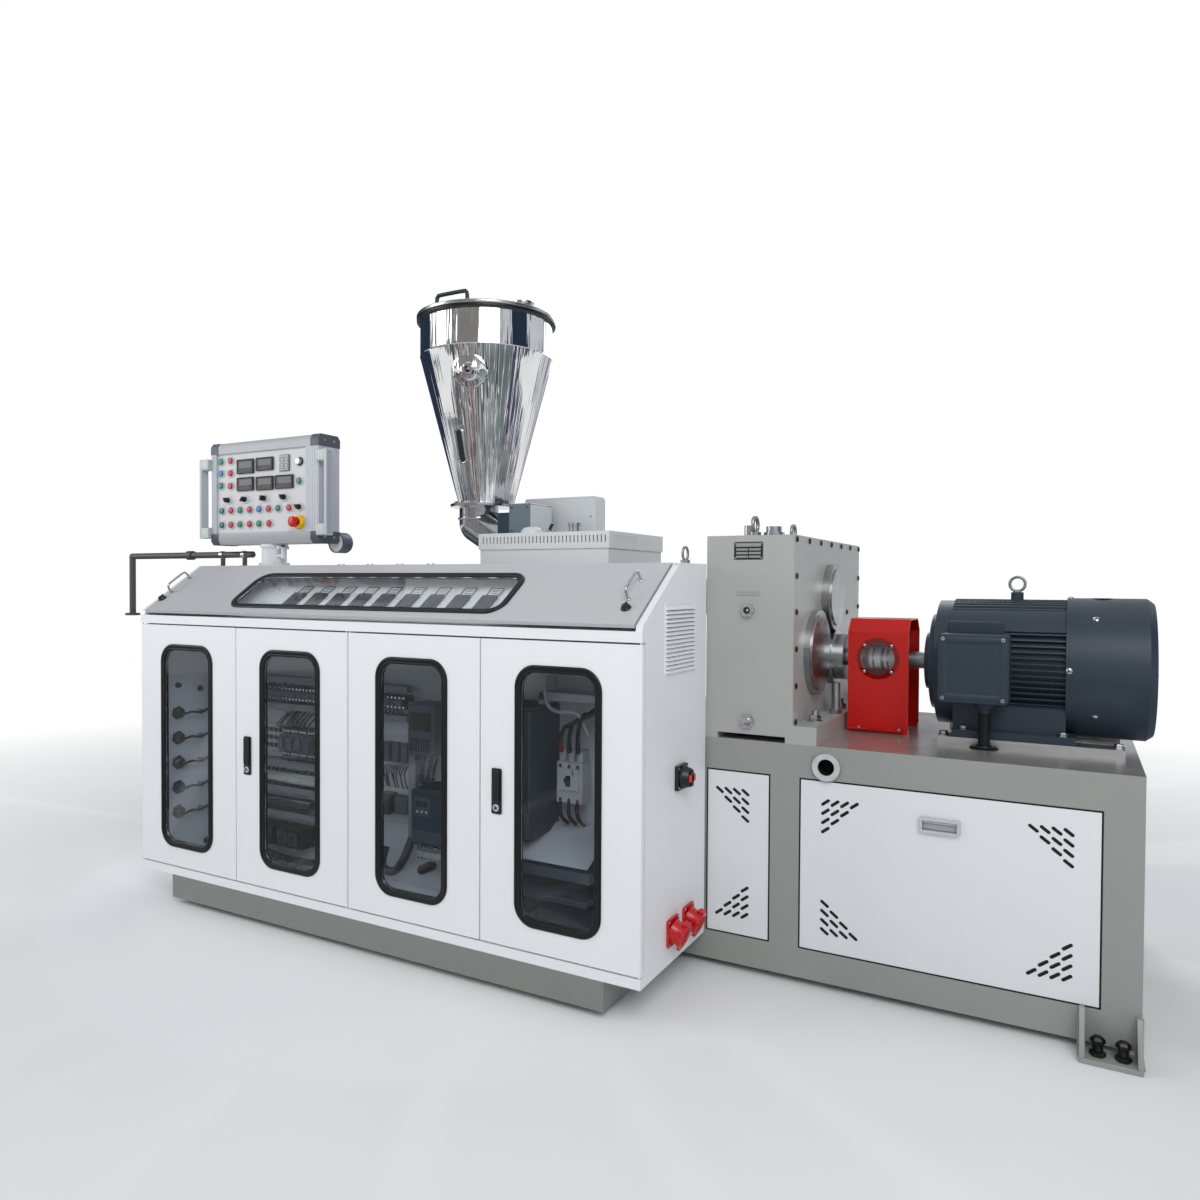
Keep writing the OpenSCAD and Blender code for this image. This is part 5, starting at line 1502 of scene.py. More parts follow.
def meter(piece, left, low, right, high):
    """A panel meter: black frame, dark display, a row of keys and three lamps."""
    width, tall = right - left, high - low
    place = on_box((left + right) / 2, (low + high) / 2)
    piece.block(place, (width, tall, 7), BLACK, corner=2.5, bevel=1.4)
    piece.strip(lifted(place, 6.5), (width - 4, tall - 4), 2, [(0, 0), (0, 2.2), (3, 1.4), (3, 0)],
                BLACK, steps=3)
    display = (width - 24, tall * 0.46, 1)
    piece.block(shifted(place, 4, 6, 6.6), display, "meter_glass", corner=1.5, bevel=0.4)
    for key in range(4):
        spot = shifted(place, (key - 1.5) * 15 + 4, -tall * 0.32, 6.8)
        piece.block(spot, (9, 6, 1.4), SLATE, corner=1, bevel=0.4)
    for lamp in range(3):
        piece.rod(shifted(place, -width / 2 + 8, 14 - 9 * lamp, 6.8), 1.6, 1, "red_plastic", sides=12)


def timer(piece, x, z):
    """A counter with four pale windows in a dark frame."""
    place = on_box(x, z)
    piece.block(place, (52, 62, 6), SLATE, corner=3, bevel=1.4)
    piece.block(lifted(place, 5.6), (48, 58, 1), "timer_grey", corner=2, bevel=0.4)
    for across in (-11, 11):
        for up, tall in ((13, 18), (-13, 22)):
            window = shifted(place, across, up, 6.4)
            piece.strip(window, (18, tall), 1, [(0, 0), (0, 1), (1.2, 1), (1.2, 0)], SLATE, steps=1)


def emergency_stop(piece, x, z):
    """A red mushroom in a raised yellow collar with eight lobes."""
    place = on_box(x, z)
    yellow = "yellow_plastic"
    sides = 96

    def lobed(radius, level, depth):
        loop = []
        for i in range(sides):
            angle = 2 * math.pi * i / sides
            reach = radius - depth * (0.5 + 0.5 * math.cos(8 * angle)) ** 3
            loop.append(Vector((reach * math.cos(angle), reach * math.sin(angle), level)))
        return loop

    rows = [(26, 0, 0), (27, 3, 1.5), (26.5, 15, 3), (24.5, 19, 3), (20, 20, 1), (17.5, 18, 0), (16.5, 9, 0)]
    piece.skin(place, [lobed(*row) for row in rows], yellow)
    red = "socket_plastic"
    head = [(11, 8), (11, 28), (19, 31), (20.5, 36), (19.5, 41), (15, 44), (6, 45)]
    piece.lathe(place, head, red, sides=48)


def box_controls():
    piece = Piece("control_face")
    for x, z, coat in ((54, 329, "green"), (110, 330, "red"), (54, 282, "blue"), (109, 281, "red"),
                       (54, 234, "green"), (109, 231, "red")):
        button(piece, x, z, coat + "_plastic")
    for box in ((147, 275, 241, 331), (255, 281, 348, 332), (147, 208, 240, 261), (255, 206, 348, 259),
                (359, 207, 455, 259)):
        meter(piece, *box)
    timer(piece, 408, 304)
    dial = on_box(487, 305)
    piece.lathe(dial, [(17, 0), (17, 2), (14, 3)], BLACK, sides=36)
    piece.lathe(dial, [(12, 2), (11.5, 12), (10, 14), (5, 14.5)], BRIGHT, sides=36)
    button(piece, 487, 232, "green_plastic")
    for x, turn in ((95, 30), (192, -30), (299, 0), (407, 30)):
        selector(piece, x, 175, turn)
    for i, x in enumerate((59, 112, 164, 218, 271, 323, 375, 434)):
        button(piece, x, 134, ("blue_plastic" if i == 4 else "green_plastic", "red_plastic")[i % 2])
    selector(piece, 487, 135, 40)
    for i, x in enumerate((59, 112, 164, 218, 271, 326)):
        button(piece, x, 78, ("green_plastic", "red_plastic")[i % 2])
    emergency_stop(piece, 487, 78)
    piece.done("box_head")


class EXTRUDER_OT_control_box(Operator):
    """Builds the swivelling control box with its face plate, buttons, knobs and meters"""
    bl_idname = "extruder.control_box"
    bl_label = "Control box"

    def execute(self, context):
        box_shell()
        box_handles()
        box_controls()
        return {"FINISHED"}


# Gearbox, guard and motor

CAP_DEPTH = 18


def cover_bolts():
    """Socket bolts of the cover, down both sides and along its top, and of the two caps."""
    piece = Piece("gearbox_bolts")
    radius = settings().bolt_width * 0.5
    front, rear = 498, 1345
    spots = [(front + (rear - front) / 6 * i, 1327) for i in range(7)]
    spots += [(y, z) for y in (front, rear) for z in (1217, 1109, 998, 887, 778)]
    spots += [(1065, 1109), (1162, 1092), (1240, 1010), (1240, 860)]
    for y, z in spots:
        socket_bolt(piece, right_at(GEARBOX_RIGHT, y, z), radius, 4, OXIDE)
    for upper, lower in zip(ring_of(6, 90, 62), ring_of(6, 106, 62)):
        for y, z, (across, up) in ((901, BARREL_Z, upper), (716, 974, lower)):
            place = right_at(GEARBOX_RIGHT + CAP_DEPTH, y + across, z + up)
            socket_bolt(piece, place, radius * 0.95, 5, OXIDE)
    piece.done()


def gearbox_plates():
    """Blank rating plate and slim plate on the front, with the oil sight glass, a painted glint on it, and
    the drain plug.
    """
    piece = Piece("gearbox_plates")
    steel_sheet = "plate_silver"
    plate = front_at(2230, BASE_FRONT, 1293)
    piece.block(plate, (91, 54, 1.2), "plate_black", corner=2, bevel=0.3)
    piece.block(shifted(plate, 0, 18, 1), (80, 11, 0.7), steel_sheet, corner=1, bevel=0.2)
    for row in range(3):
        for column in (-20, 20):
            piece.block(shifted(plate, column, 4 - 11 * row, 1), (37, 6.5, 0.7), steel_sheet, bevel=0.2)
    for x, z in corners_of(41, 22.5):
        piece.rod(shifted(plate, x, z, 1), 2.4, 1.6, steel_sheet, sides=14)
    slim = front_at(2230, BASE_FRONT, 1163)
    piece.block(slim, (73, 13, 1.2), steel_sheet, corner=1, bevel=0.3)
    glass = front_at(2231, BASE_FRONT - 14, 1112)
    piece.tube(glass, 16, 11, 3, BRIGHT, sides=32)
    piece.rod(glass, 11.2, 1.4, "lamp_dark", sides=32, bevel=0.3)
    # A pale dot up and to the right on the dark glass: a painted glint
    piece.rod(shifted(glass, 2, 1, 1.2), 3.4, 1, PALE, sides=20, bevel=0.3)
    plug = front_at(2231, BASE_FRONT - 12, 775)
    piece.lathe(plug, [(16, 0), (16, 2), (13.5, 8), (12, 9)], BRIGHT, sides=6)
    piece.done()


def flange_bolts():
    """Bolts that hold the gearbox's foot flange down."""
    piece = Piece("gearbox_foot_bolts")
    for y in (596, 929, 1262):
        spot = at(GEARBOX_RIGHT + 34, y, DECK_HEIGHT + 54)
        hex_bolt(piece, spot, 22)
        piece.rod(spot, 11, 34, BRIGHT, sides=24)
    piece.done()


class EXTRUDER_OT_gearbox(Operator):
    """Finishes the gearbox and builds its bolts, blank plates and oil fittings"""
    bl_idname = "extruder.gearbox"
    bl_label = "Gearbox"

    def execute(self, context):
        dress("gearbox_housing", "gearbox_paint")
        dress("gearbox_caps", "turned_steel")
        dress("lifting_eyes", "ring_steel")
        cover_bolts()
        gearbox_plates()
        flange_bolts()
        return {"FINISHED"}


class EXTRUDER_OT_guard(Operator):
    """Finishes the coupling guard and builds its window screws and foot screws"""
    bl_idname = "extruder.guard"
    bl_label = "Coupling guard"

    def execute(self, context):
        dress("coupling_guard", "guard_gloss")
        dress("guard_window", "guard_glass")
        dress("drive_coupling", "ring_steel")
        low, high = span("guard_window")
        middle = (low + high) / 2
        piece = Piece("guard_screws")
        ring = front_at(middle.x, low.y, middle.z)
        for x, z in ring_of(4, 59, 45):
            pan_screw(piece, shifted(ring, x, z), 5)
        low, high = span("coupling_guard")
        for x in (low.x + 40, high.x - 24):
            for y in (low.y + 9, high.y - 9):
                hex_bolt(piece, at(x, y, DECK_HEIGHT + 14), 8)
        piece.done()
        sleeves = Piece("coupling_sleeves")
        for along, width in ((-44, 12), (-26, 20), (4, 9), (19, 20)):
            sleeve = right_at(middle.x + along, SHAFT_Y, SHAFT_Z)
            sleeves.tube(sleeve, 36, 33.8, width, SATIN, sides=64)
        sleeves.done("shaft_line")
        return {"FINISHED"}


def terminal_cover():
    """Cover of the motor's terminal box, with its rib, its four bolts and the block behind."""
    piece = Piece("terminal_cover")
    paint = "motor_paint"
    place = front_at(2848, 632, 951)
    piece.block(place, (190, 198, 8), paint, corner=14, bevel=3)
    piece.strip(lifted(place, 6), (176, 184), 12, [(0, 0), (0, 3), (3, 5), (16, 5), (20, 2), (20, 0)], paint)
    for x, z in corners_of(80, 86):
        socket_bolt(piece, shifted(place, x, z, 8), 5.5, 5, BRIGHT)
    piece.block(front_at(2848, 726, 1065), (150, 40, 20), paint, corner=5, bevel=3)
    piece.done()


def cable_boot():
    """Gland under the terminal box, with the cable's stub down to its ring on the deck."""
    piece = Piece("cable_boot")
    paint = "motor_paint"
    black = "seal_rubber"
    foot = at(2876, 687, DECK_HEIGHT)
    piece.lathe(foot, [(40, 0), (40, 2), (36, 5), (24, 6), (23, 9), (17, 10)], black, sides=40)
    piece.lathe(foot, [(16.6, 6), (16.6, 100), (17.6, 104)], black, sides=32)
    gland = [(18, 0), (20, 10), (27, 13), (28, 15), (28, 29), (27, 31)]
    piece.lathe(lifted(foot, 104), gland, paint, sides=40)
    piece.done()


def fan_cowl():
    """Screws round the fan cowl, the grille in its end with painted shade in its openings, and the hole on
    its top as a disc of painted shade.
    """
    piece = Piece("cowl_fittings")
    radius, left, right = 207, 3085, 3306
    for x, turns in ((left + 7, (1, 91, 181, 271)), (left + 73, (-38, 46, 134, 218))):
        for turn in turns:
            angle = math.radians(turn)
            out = Vector((0, -math.cos(angle), math.sin(angle)))
            point = Vector((x, SHAFT_Y, SHAFT_Z)) + out * (radius - 0.5)
            pan_screw(piece, aimed(point, out), 9)
    grille = right_at(right, SHAFT_Y, SHAFT_Z)
    paint = "motor_paint"
    # Dark rings under the spokes: painted shade in the grille's openings
    for ring in range(7):
        inner = 34 + ring * 21
        piece.tube(lifted(grille, -0.6), inner + 13, inner, 1, HOLE_SHADE, sides=72, bevel=0.2)
    for spoke in range(8):
        turned = shifted(grille, 0, 0, -0.4, 45 * spoke)
        piece.block(shifted(turned, 108, 0), (150, 10, 1.4), paint, bevel=0.4)
    for spot in range(4):
        turned = shifted(grille, 0, 0, 0, 45 + 90 * spot)
        piece.block(shifted(turned, 188, 0, -3), (10, 10, 3), paint, bevel=0.6)
    # A dark disc: painted shade in the hole on top
    top = at(left + 90, SHAFT_Y - 10, SHAFT_Z + radius - 1.6)
    piece.lathe(top, [(27, 0), (27, 1.9)], HOLE_SHADE, sides=36)
    piece.tube(right_at(left - 1, SHAFT_Y, SHAFT_Z), radius + 1.2, radius - 4, 9, paint, sides=96)
    piece.done()


def motor_feet():
    """Bolts that clamp the feet to the slide rails, and the rails' tension bolts."""
    piece = Piece("motor_bolts")
    for side in (-1, 1):
        for x in (2815, 3079):
            spot = at(x, SHAFT_Y + side * 178, DECK_HEIGHT + 44)
            hex_bolt(piece, spot, 14)
        for x in (2757, 3218):
            spot = at(x, SHAFT_Y + side * 155, DECK_HEIGHT + 20)
            hex_bolt(piece, spot, 14)
            piece.block(spot, (22, 60, 2), "rail_steel", bevel=0.6)
    piece.done()


class EXTRUDER_OT_motor(Operator):
    """Finishes the motor and builds its terminal cover, cable boot, fan grille and bolts"""
    bl_idname = "extruder.motor"
    bl_label = "Motor"

    def execute(self, context):
        dress("motor_frame", "motor_paint")
        terminal_cover()
        cable_boot()
        fan_cowl()
        motor_feet()
        return {"FINISHED"}


# Hopper, feeder and barrel

HOPPER_X = 935
HOPPER_TOP = 2271
WALL_RADIUS = 272
NECK_RADIUS = 115
NECK_Z = 1518
BEAD_Z = 2117
CONE_LEAN = math.atan((WALL_RADIUS - NECK_RADIUS) / (BEAD_Z - NECK_Z))


def cone_radius(z):
    """Radius of the hopper's cone at a height."""
    return NECK_RADIUS + (z - NECK_Z) * math.tan(CONE_LEAN)


def hopper_wall():
    """Cone with its bead, rim and seam, the bolted neck, and the round throat below it."""
    piece = Piece("hopper_wall")
    sides = settings().hopper_sides
    widening = WALL_RADIUS - NECK_RADIUS
    cone_low, cone_high, steps = 1520, 2114, 12
    outside = [(NECK_RADIUS - 0.5, NECK_Z), (NECK_RADIUS, cone_low)]
    outside += [(NECK_RADIUS + widening * step / steps, cone_low + (cone_high - cone_low) * step / steps)
                for step in range(1, steps)]
    outside += [(271.4, 2112), (272.6, 2115), (273.4, BEAD_Z), (272.6, 2119), (WALL_RADIUS, 2122),
                (WALL_RADIUS, 2259), (WALL_RADIUS, HOPPER_TOP), (WALL_RADIUS - 3, HOPPER_TOP),
                (WALL_RADIUS - 3, BEAD_Z + 1), (NECK_RADIUS - 3, 1522)]
    piece.skin(at(HOPPER_X, SHAFT_Y, 0), [circle(radius, sides, level) for radius, level in outside],
               MIRROR, caps=False)
    seam = []
    for share in (0.01, 0.25, 0.5, 0.75, 0.99):
        out = NECK_RADIUS + 0.4 + widening * share
        seam.append((HOPPER_X + out * math.sin(0.35), SHAFT_Y - out * math.cos(0.35),
                     cone_low + (cone_high - cone_low) * share))
    piece.pipe(seam, 1.1, BRIGHT, sides=6)
    neck = at(916, SHAFT_Y, 1506)
    piece.lathe(neck, [(131.5, 0), (133, 1.5), (133, 10.5), (131.5, 12)], BRIGHT, sides=96)
    for x, y in ring_of(8, 123, 20):
        hex_bolt(piece, shifted(neck, x, y, 12), 9)
    joint = at(897, SHAFT_Y, 1439)
    radius, tube = 81, "throat_steel"
    piece.lathe(joint, [(radius, 0), (radius, 67)], tube, sides=64)
    piece.lathe(joint, [(86, 14), (87, 16), (87, 22), (86, 24)], BRIGHT, sides=64)
    fall = aimed((897, SHAFT_Y, 1439), (math.cos(math.radians(30)), 0, -0.5))
    turns = [math.radians(12 * i) for i in range(1, 8)]
    ball = [(radius * math.sin(turn), -radius * math.cos(turn)) for turn in turns]
    piece.lathe(fall, ball + [(radius, 0), (radius, 238)], tube, sides=64)
    piece.done(replaces=["hopper_shell"], smooth=30)


def sensor_port():
    """Level sensor's port: a polished tube with an open end and a flared foot on the cone."""
    piece = Piece("sensor_port")
    turn = math.radians(20)
    out = Vector((math.sin(turn), -math.cos(turn), 0))
    axis = Vector((HOPPER_X, SHAFT_Y, 2017))
    place = aimed(axis + out * 215, out)
    tube = [(34, 0), (30, 34), (22, 36), (20, 40), (20, 60), (19, 61), (12.5, 61), (12, 60), (12, 32)]
    piece.lathe(place, tube, MIRROR, sides=56)
    # A dark disc down the bore: painted shade
    piece.rod(lifted(place, 31), 12, 1.5, HOLE_SHADE, sides=32)
    away = out * math.cos(CONE_LEAN) - Vector((0, 0, math.sin(CONE_LEAN)))
    foot = aimed(axis + out * cone_radius(axis.z) - away * 12, away)
    flare = [(23, 0), (73, 0), (72, 6), (66, 11), (58, 13.5), (44, 16), (32, 21), (24, 27), (22, 27)]
    piece.skin(foot, [circle(radius, 72, level) for radius, level in flare], MIRROR, closed=True)
    piece.done()


def sight_glass():
    """Upright sight glass in its bolted frame, leaning with the wall."""
    z = 1739
    place = front_at(HOPPER_X, SHAFT_Y - cone_radius(z) + 1, z) @ Matrix.Rotation(CONE_LEAN, 4, "X")
    piece = Piece("sight_glass")
    piece.block(lifted(place, -2), (30, 128, 6), "lamp_dark", corner=15, bevel=1)
    rim = [(0, 0), (0, 7), (1.5, 8.5), (7, 8.5), (9, 7), (9, 0)]
    piece.strip(lifted(place, -3), (46, 146), 23, rim, BRIGHT, steps=12)
    for side in (-1, 1):
        for up in (-44, 0, 44):
            socket_bolt(piece, shifted(place, side * 18.5, up, 5), 3, 3, BRIGHT)
    piece.done()


def hopper_cover():
    """Steel lid with its black rim band, bow handle and the capped stub of the loader."""
    piece = Piece("hopper_cover")
    top = at(HOPPER_X, SHAFT_Y, HOPPER_TOP)
    band = [(272.6, -12), (286, -12), (286.6, -9), (286.6, -3), (286, 0)]
    piece.skin(top, [circle(radius, 160, level) for radius, level in band], "seal_rubber", caps=False)
    plate = [(272.6, -1), (286, 0), (287, 3), (287, 10), (285, 13), (270, 15), (200, 21), (120, 28.5),
             (8, 30)]
    piece.lathe(top, plate, "lid_steel", sides=160)
    bow = shifted(top, -105, -195, 14)
    grip = bend([(0, 0, 0), (0, 0, 44), (6, 0, 56), (20, 0, 60), (130, 0, 60), (144, 0, 56), (150, 0, 44),
                 (150, 0, 0)], 5)
    piece.pipe([bow @ point for point in grip], 8, BLACK, sides=16)
    for x in (0, 150):
        piece.rod(shifted(bow, x, 0, 0), 15, 6, BLACK, sides=24)
    stub = shifted(top, 151, 45, 14)
    flanged = [(48, 0), (48, 4), (40, 6), (40, 46), (47, 48), (48, 50), (48, 60), (46, 62)]
    piece.lathe(stub, flanged, BRIGHT, sides=48)
    piece.done(replaces=["hopper_lid"], smooth=30)


class EXTRUDER_OT_hopper(Operator):
    """Builds the polished hopper with its seams, sensor port, sight glass and lift-off lid"""
    bl_idname = "extruder.hopper"
    bl_label = "Hopper"

    def execute(self, context):
        hopper_wall()
        sensor_port()
        sight_glass()
        hopper_cover()
        return {"FINISHED"}


def feed_drive():
    """Feed drive: a gearbox painted slate on its shaded front and pale on its lit right side and top, with
    its flange, a dome, a lever and the long chest behind.
    """
    piece = Piece("feed_drive")
    slate = "feeder_paint"
    pale = "chest_paint"
    deck = 1381
    piece.block(at(1100.5, 822, deck), (57, 44, 90), "inverter_plastic", bevel=1.5)
    # The slate is painted shade and the pale plates on the right side and top are painted light, all of one
    # paint
    piece.block(at(1177, 881.5, deck), (100, 163, 123), slate, corner=3, bevel=2)
    piece.block(right_at(1225.5, 881.5, deck + 61), (157, 115, 2.4), pale, corner=4, bevel=1)
    piece.block(at(1177, 881.5, deck + 121.5), (94, 157, 3), pale, corner=3, bevel=1)
    for x in (1141, 1213):
        for z in (deck + 16, deck + 108):
            socket_bolt(piece, front_at(x, 800, z), 3.6, 2, BLACK)
    dome = [(44, 0), (43, 8), (39, 16), (32, 22), (20, 26), (4, 27)]
    piece.lathe(at(1262, 760, deck), dome, "post_paint", sides=48)
    chest = at(1238.5, 1045, deck)
    piece.block(chest, (337, 90, 156), pale, corner=5, bevel=2)
    piece.block(lifted(chest, 155), (333, 86, 7), pale, corner=6, bevel=2)
    for x in (-150, 150):
        piece.rod(front_at(1238.5 + x, 1000, deck + 80), 4, 2, BRIGHT, sides=18)
    cup = at(1365, 910, deck)
    turned = [(29, 0), (30, 2), (30, 8), (24, 10), (24, 36), (27, 39), (27, 47), (25, 48)]
    piece.lathe(cup, turned, BRIGHT, sides=44)
    piece.rod(at(1318, 800, deck), 13, 14, BRIGHT, sides=28)
    lever = [(1318, 800, deck + 14), (1321, 800, deck + 26), (1332, 800, deck + 40)]
    piece.pipe(bend(lever, 5), 6, BLACK, sides=12)
    piece.done(replaces=["feed_motor"])


def housing_screws():
    """Screws of the barrel's housing, and dark blocks in its slots as painted shade."""
    piece = Piece("shroud_screws")
    low, high = span("barrel_shroud")
    for x in (low.x + 24, (low.x + high.x) / 2, high.x - 24):
        for y, side in ((low.y + 5, "front"), (high.y - 5, "back")):
            for z in (760, 1000):
                pan_screw(piece, facing(side, x, y, z), settings().screw_radius)
    for y in (low.y + 30, high.y - 30):
        pan_screw(piece, right_at(high.x - 5, y, 1010), settings().screw_radius)
    # Dark blocks in the slots: painted shade
    for i in range(34):
        for side, y in (("front", low.y + 6), ("back", high.y - 6)):
            slot = facing(side, low.x + 22.5 + 16.2 * i, y, high.z - 27)
            piece.block(slot, (4.9, 25.8, 0.8), HOLE_SHADE, bevel=0.1)
    for i in range(12):
        slot = right_at(high.x - 6, low.y + 42.5 + 16.2 * i, high.z - 27)
        piece.block(slot, (4.9, 25.8, 0.8), HOLE_SHADE, bevel=0.1)
    piece.done()


class EXTRUDER_OT_feeder(Operator):
    """Builds the feed motor on the barrel's housing and the housing's screws"""
    bl_idname = "extruder.feeder"
    bl_label = "Feeder"

    def execute(self, context):
        dress("barrel_shroud", "shroud_paint")
        feed_drive()
        housing_screws()
        return {"FINISHED"}


class EXTRUDER_OT_barrel(Operator):
    """Finishes the barrel and its die head and builds the heater clamps"""
    bl_idname = "extruder.barrel"
    bl_label = "Barrel"

    def execute(self, context):
        dress("barrel", "barrel_steel")
        dress("die_head", "die_brass")
        piece = Piece("heater_bands")
        barrel_radius, band = 68, 22
        radius = barrel_radius + band
        for heater in range(4):
            left = 40 + 175 * heater
            for share in (16, 134):
                place = right_at(left + share - 9, SHAFT_Y, BARREL_Z)
                piece.tube(place, radius + 1.6, radius - 0.6, 18, "band_steel", sides=72, bevel=0.4)
                clamp = front_at(left + share, SHAFT_Y - radius - 1, BARREL_Z)
                piece.block(shifted(clamp, 0, 14), (18, 8, 12), "band_steel", bevel=1)
                piece.block(shifted(clamp, 0, -14), (18, 8, 12), "band_steel", bevel=1)
                piece.pipe([clamp @ Vector((0, -24, 7)), clamp @ Vector((0, 24, 7))], 2.6, OXIDE)
            head = at(left + 75, SHAFT_Y, BARREL_Z + radius - 1)
            piece.block(head, (62, 40, 30), BRIGHT, corner=4, bevel=2)
            for x in (-14, 14):
                piece.rod(shifted(head, x, 0, 29), 6, 9, PALE, sides=20)
        for x in (span("die_head")[1].x - 50, GEARBOX_LEFT - 40):
            place = facing("left", x, SHAFT_Y, BARREL_Z)
            for across, up in ring_of(8, 90, 22):
                socket_bolt(piece, shifted(place, across, up), 9, 10, OXIDE)
        piece.done()
        return {"FINISHED"}


class EXTRUDER_OT_post(Operator):
    """Finishes the control box's post and the vent pipe and builds the bolts, knob and pipe clips"""
    bl_idname = "extruder.post"
    bl_label = "Post and pipe"

    def execute(self, context):
        dress("panel_post", "post_paint")
        dress("vent_pipe", "pipe_paint")
        piece = Piece("post_fittings")
        for x, y in ring_of(4, 51.5, 45):
            hex_bolt(piece, at(357 + x, 316 + y, CABINET_TOP + 8), 5)
        knob = at(427, 296, BOX_LOW - 12)
        piece.lathe(knob, [(6, 0), (8.2, 2), (8.2, 5), (6, 7)], BLACK, sides=24)
        for x in (30, 160):
            clip = right_at(x - 9, 340, 1300)
            piece.tube(clip, 15.5, 12.8, 18, BRIGHT, sides=32)
            piece.block(at(x, 340, CABINET_TOP), (34, 30, 3), BRIGHT, corner=3)
        piece.done()
        return {"FINISHED"}


# Studio

LAMP_SIZE = 3.0
LAMP_AIM = 0.9
MIRRORED_LIGHT = 0.72
BACKDROP_LIGHT = 1.08
FADE_START = 2.4
FADE_END = 5.5


def add_camera(studio):
    data = bpy.data.cameras.new("camera")
    data.lens = studio.lens
    data.sensor_width = 36
    data.sensor_fit = "HORIZONTAL"
    data.clip_start = 0.05
    made = placed("camera", data)
    turned = Matrix.Rotation(studio.yaw, 4, "Z") @ Matrix.Rotation(math.pi / 2 + studio.pitch, 4, "X")
    made.matrix_world = Matrix.Translation(studio.eye) @ turned @ Matrix.Rotation(studio.roll, 4, "Z")
    bpy.context.scene.camera = made


def add_world(strength):
    """Even light on the machine, with a plain white backdrop."""
    world = bpy.data.worlds.new("studio")
    world.use_nodes = True
    bpy.context.scene.world = world
    nodes = Nodes(world.node_tree)
    backdrop = world.node_tree.nodes["Background"]
    backdrop.inputs["Color"].default_value = (0.93, 0.95, 1.0, 1.0)
    seen = nodes.add("ShaderNodeLightPath").outputs
    rays = nodes.math("ADD", seen["Is Camera Ray"], seen["Is Transmission Ray"], clamp=True)
    mirrored = nodes.between(seen["Is Glossy Ray"], strength, MIRRORED_LIGHT)
    nodes.feed(backdrop.inputs["Strength"], nodes.between(rays, mirrored, BACKDROP_LIGHT))


def add_floor():
    """A wide pale floor that fades into the backdrop."""
    mesh = bmesh.new()
    reach = 40
    corners = [(-reach, -reach, 0), (reach, -reach, 0), (reach, reach, 0), (-reach, reach, 0)]
    mesh.faces.new([mesh.verts.new(corner) for corner in corners])
    data = mesh_data("floor", mesh)
    coat = Finish("floor_paint", (0.86, 0.87, 0.88, 1.0), 0.55)
    coat.set("Base Color", coat.clouded(1.4, 4.0, (0.84, 0.85, 0.86, 1.0), (0.88, 0.885, 0.89, 1.0)))
    away = coat.vector("LENGTH", coat.vector("MULTIPLY", coat.spot(), (1.0, 1.0, 0.0)))
    fade = coat.ramp(away, FADE_START, FADE_END)
    white = coat.add("ShaderNodeEmission")
    white.inputs["Strength"].default_value = 1.0
    mixed = coat.add("ShaderNodeMixShader")
    coat.feed(mixed.inputs[0], fade)
    coat.feed(mixed.inputs[1], coat.shader.outputs[0])
    coat.feed(mixed.inputs[2], white.outputs[0])
    coat.feed(coat.tree.nodes["Material Output"].inputs["Surface"], mixed.outputs[0])
    data.materials.append(coat.material)
    made = placed("floor", data)


def add_lamps(studio):
    """Large soft lamps: the key from the upper right, and fills from the left and from behind."""
    for name, place, power in (
            ("key", (3.2, -4.2, 4.4), studio.key), ("fill", (-4.6, -3.6, 3.0), studio.fill),
            ("back", (-0.5, 4.5, 4.2), studio.fill)):
        data = bpy.data.lights.new(name, "AREA")
        data.energy = power
        data.size = LAMP_SIZE
        lamp = placed(name, data)
        way = Vector((0, 0, LAMP_AIM)) - Vector(place)
        lamp.matrix_world = Matrix.Translation(place) @ way.to_track_quat("-Z", "Y").to_matrix().to_4x4()


def add_cards():
    """Tinted fans on the floor and round the hall that only polished steel and glass show."""
    floor = [
        (-175, -120, "2c2926"), (-118, -84, "4a453f"), (-82, -62, "7d7873"), (-60, -44, "5b5753"),
        (-42, -35, "8c4a44"), (-33, -22, "a9a8a4"), (-20, -6, "6f706d"), (-3, 10, "8d9795"),
        (13, 22, "55605f"), (25, 44, "8b9896"), (47, 58, "5d5a70"), (62, 84, "7b7b98"),
        (90, 104, "9d8a8f"), (110, 126, "8688a2"), (131, 150, "a2a4b4"), (156, 174, "5c5e68"),
    ]
    hall = [
        (-178, -112, "26344f"), (-106, -64, "9c968c"), (-62, -58, "3b3a38"), (-56, -16, "a8a39a"),
        (-10, -4, "55534f"), (3, 8, "8f8c87"), (14, 17, "3f3d3b"), (24, 27, "77746f"),
        (38, 78, "22324c"), (110, 116, "93969b"), (132, 142, "8a8d93"), (158, 176, "73767c"),
    ]
    for kind, cards, edges in (("floor", floor, ((1.6, 0.01), (10.0, 0.01))),
                               ("hall", hall, ((7.0, 1.4), (7.0, 7.0)))):
        for i, card in enumerate(cards):
            add_card(f"{kind}_card_{i}", edges, *card)


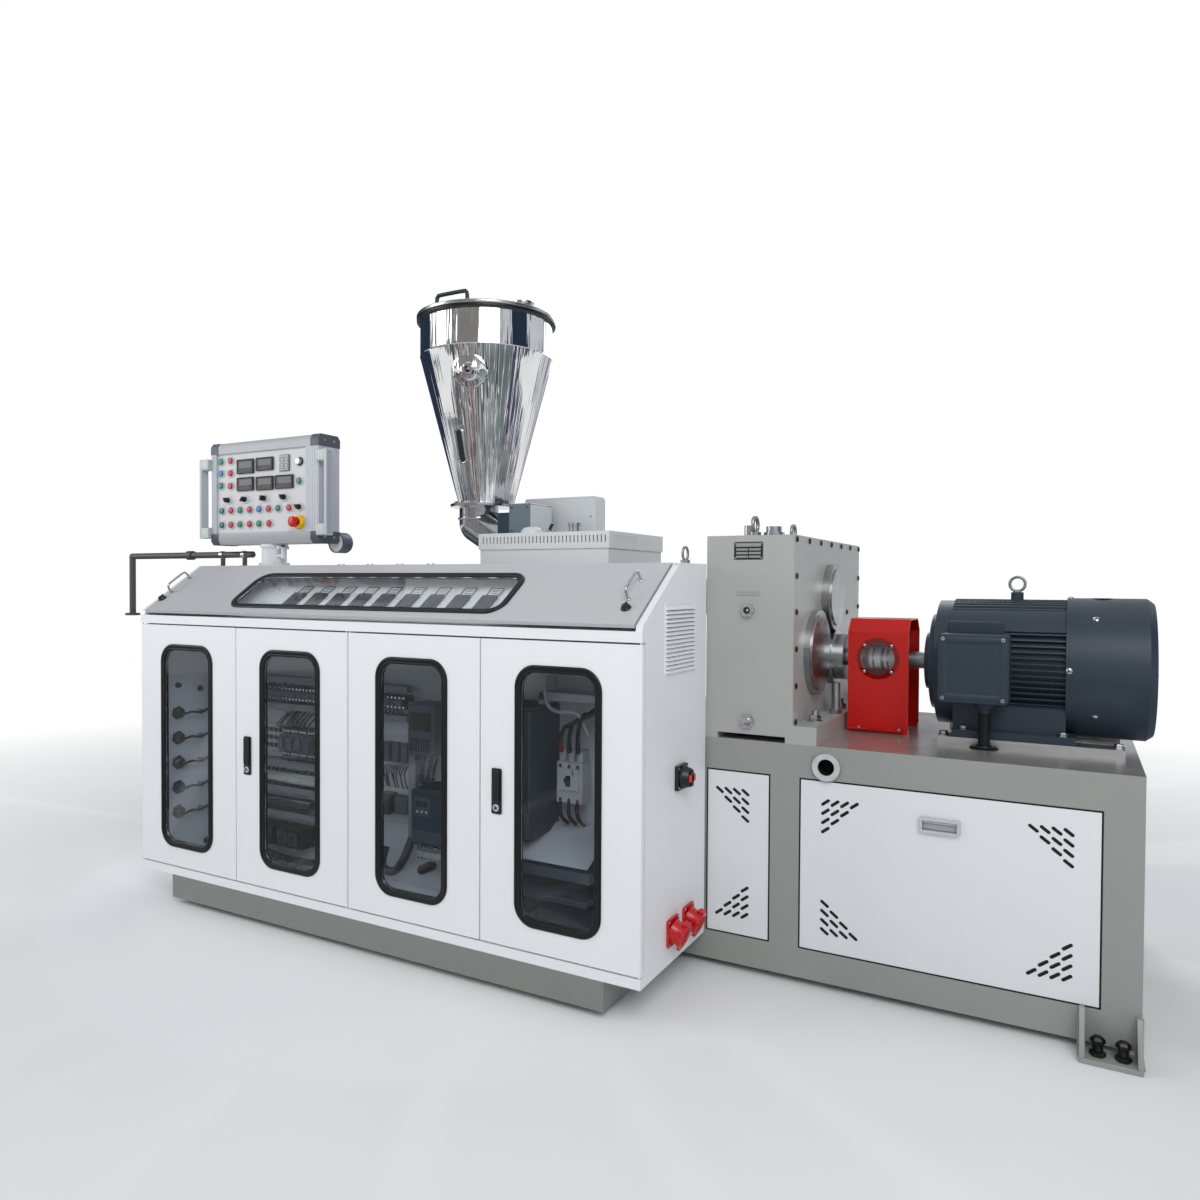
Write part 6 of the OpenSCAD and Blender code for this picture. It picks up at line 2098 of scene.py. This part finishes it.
def add_card(name, edges, start, end, code):
    """A card between two bearings from the hopper, measured from the camera's side of it."""
    centre = ORIGIN + Vector((HOPPER_X, SHAFT_Y, 0)) * MM
    toward = bpy.context.scene.camera.matrix_world.translation - centre
    zero = math.atan2(toward.y, toward.x)
    mesh = bmesh.new()
    rows = []
    steps = 6
    for step in range(steps + 1):
        angle = zero + math.radians(start + (end - start) * step / steps)
        across, along = math.cos(angle), math.sin(angle)
        rows.append([mesh.verts.new((centre.x + reach * across, centre.y + reach * along, level))
                     for reach, level in edges])
    for (a, b), (c, d) in zip(rows, rows[1:]):
        mesh.faces.new((a, c, d, b))
    data = mesh_data(name, mesh)
    base = tint(code)
    coat = Finish(name, base, 0.9)
    coat.set("Base Color", coat.mix(coat.grain(0.6, 2.0), darker(base, 0.8), base))
    data.materials.append(coat.material)
    card = placed(name, data)
    card.visible_camera = False
    card.visible_diffuse = False
    card.visible_shadow = False
    card.visible_transmission = False


class EXTRUDER_OT_stage(Operator):
    """Sets up the pale floor, the soft light, the reflection cards and the camera"""
    bl_idname = "extruder.stage"
    bl_label = "Stage"

    def execute(self, context):
        studio = context.scene.extruder_studio
        add_camera(studio)
        add_world(studio.world)
        add_floor()
        add_lamps(studio)
        if studio.cards:
            add_cards()
        context.scene.view_settings.view_transform = "Standard"
        return {"FINISHED"}


class EXTRUDER_PT_panel(Panel):
    """Buttons that build each part of the machine, over its settings"""
    bl_idname = "EXTRUDER_PT_panel"
    bl_label = "Plastic Extruder"
    bl_space_type = "VIEW_3D"
    bl_region_type = "UI"
    bl_category = "Extruder"

    def draw(self, context):
        for operator in OPERATORS:
            self.layout.operator(operator.bl_idname)
        for settings_name in SETTINGS:
            group = getattr(context.scene, settings_name)
            box = self.layout.box()
            for name in group.bl_rna.properties.keys():
                if name not in ("rna_type", "name"):
                    box.prop(group, name)


SETTINGS = {
    "extruder_sizes": ExtruderSizes,
    "extruder_colours": ExtruderColours,
    "extruder_studio": ExtruderStudio,
}
OPERATORS = (
    EXTRUDER_OT_base, EXTRUDER_OT_cabinet, EXTRUDER_OT_seals, EXTRUDER_OT_lid, EXTRUDER_OT_switchgear,
    EXTRUDER_OT_control_box, EXTRUDER_OT_gearbox, EXTRUDER_OT_guard, EXTRUDER_OT_motor, EXTRUDER_OT_hopper,
    EXTRUDER_OT_feeder, EXTRUDER_OT_barrel, EXTRUDER_OT_post, EXTRUDER_OT_stage,
)
CLASSES = (*SETTINGS.values(), *OPERATORS, EXTRUDER_PT_panel)


def register():
    for made in CLASSES:
        bpy.utils.register_class(made)
    for name, group in SETTINGS.items():
        setattr(bpy.types.Scene, name, PointerProperty(type=group))


def unregister():
    for name in SETTINGS:
        delattr(bpy.types.Scene, name)
    for made in reversed(CLASSES):
        bpy.utils.unregister_class(made)


def main():
    register()
    for operator in OPERATORS:
        step = operator.bl_idname.split(".")[1]
        getattr(bpy.ops.extruder, step)()


if __name__ == "__main__":
    main()
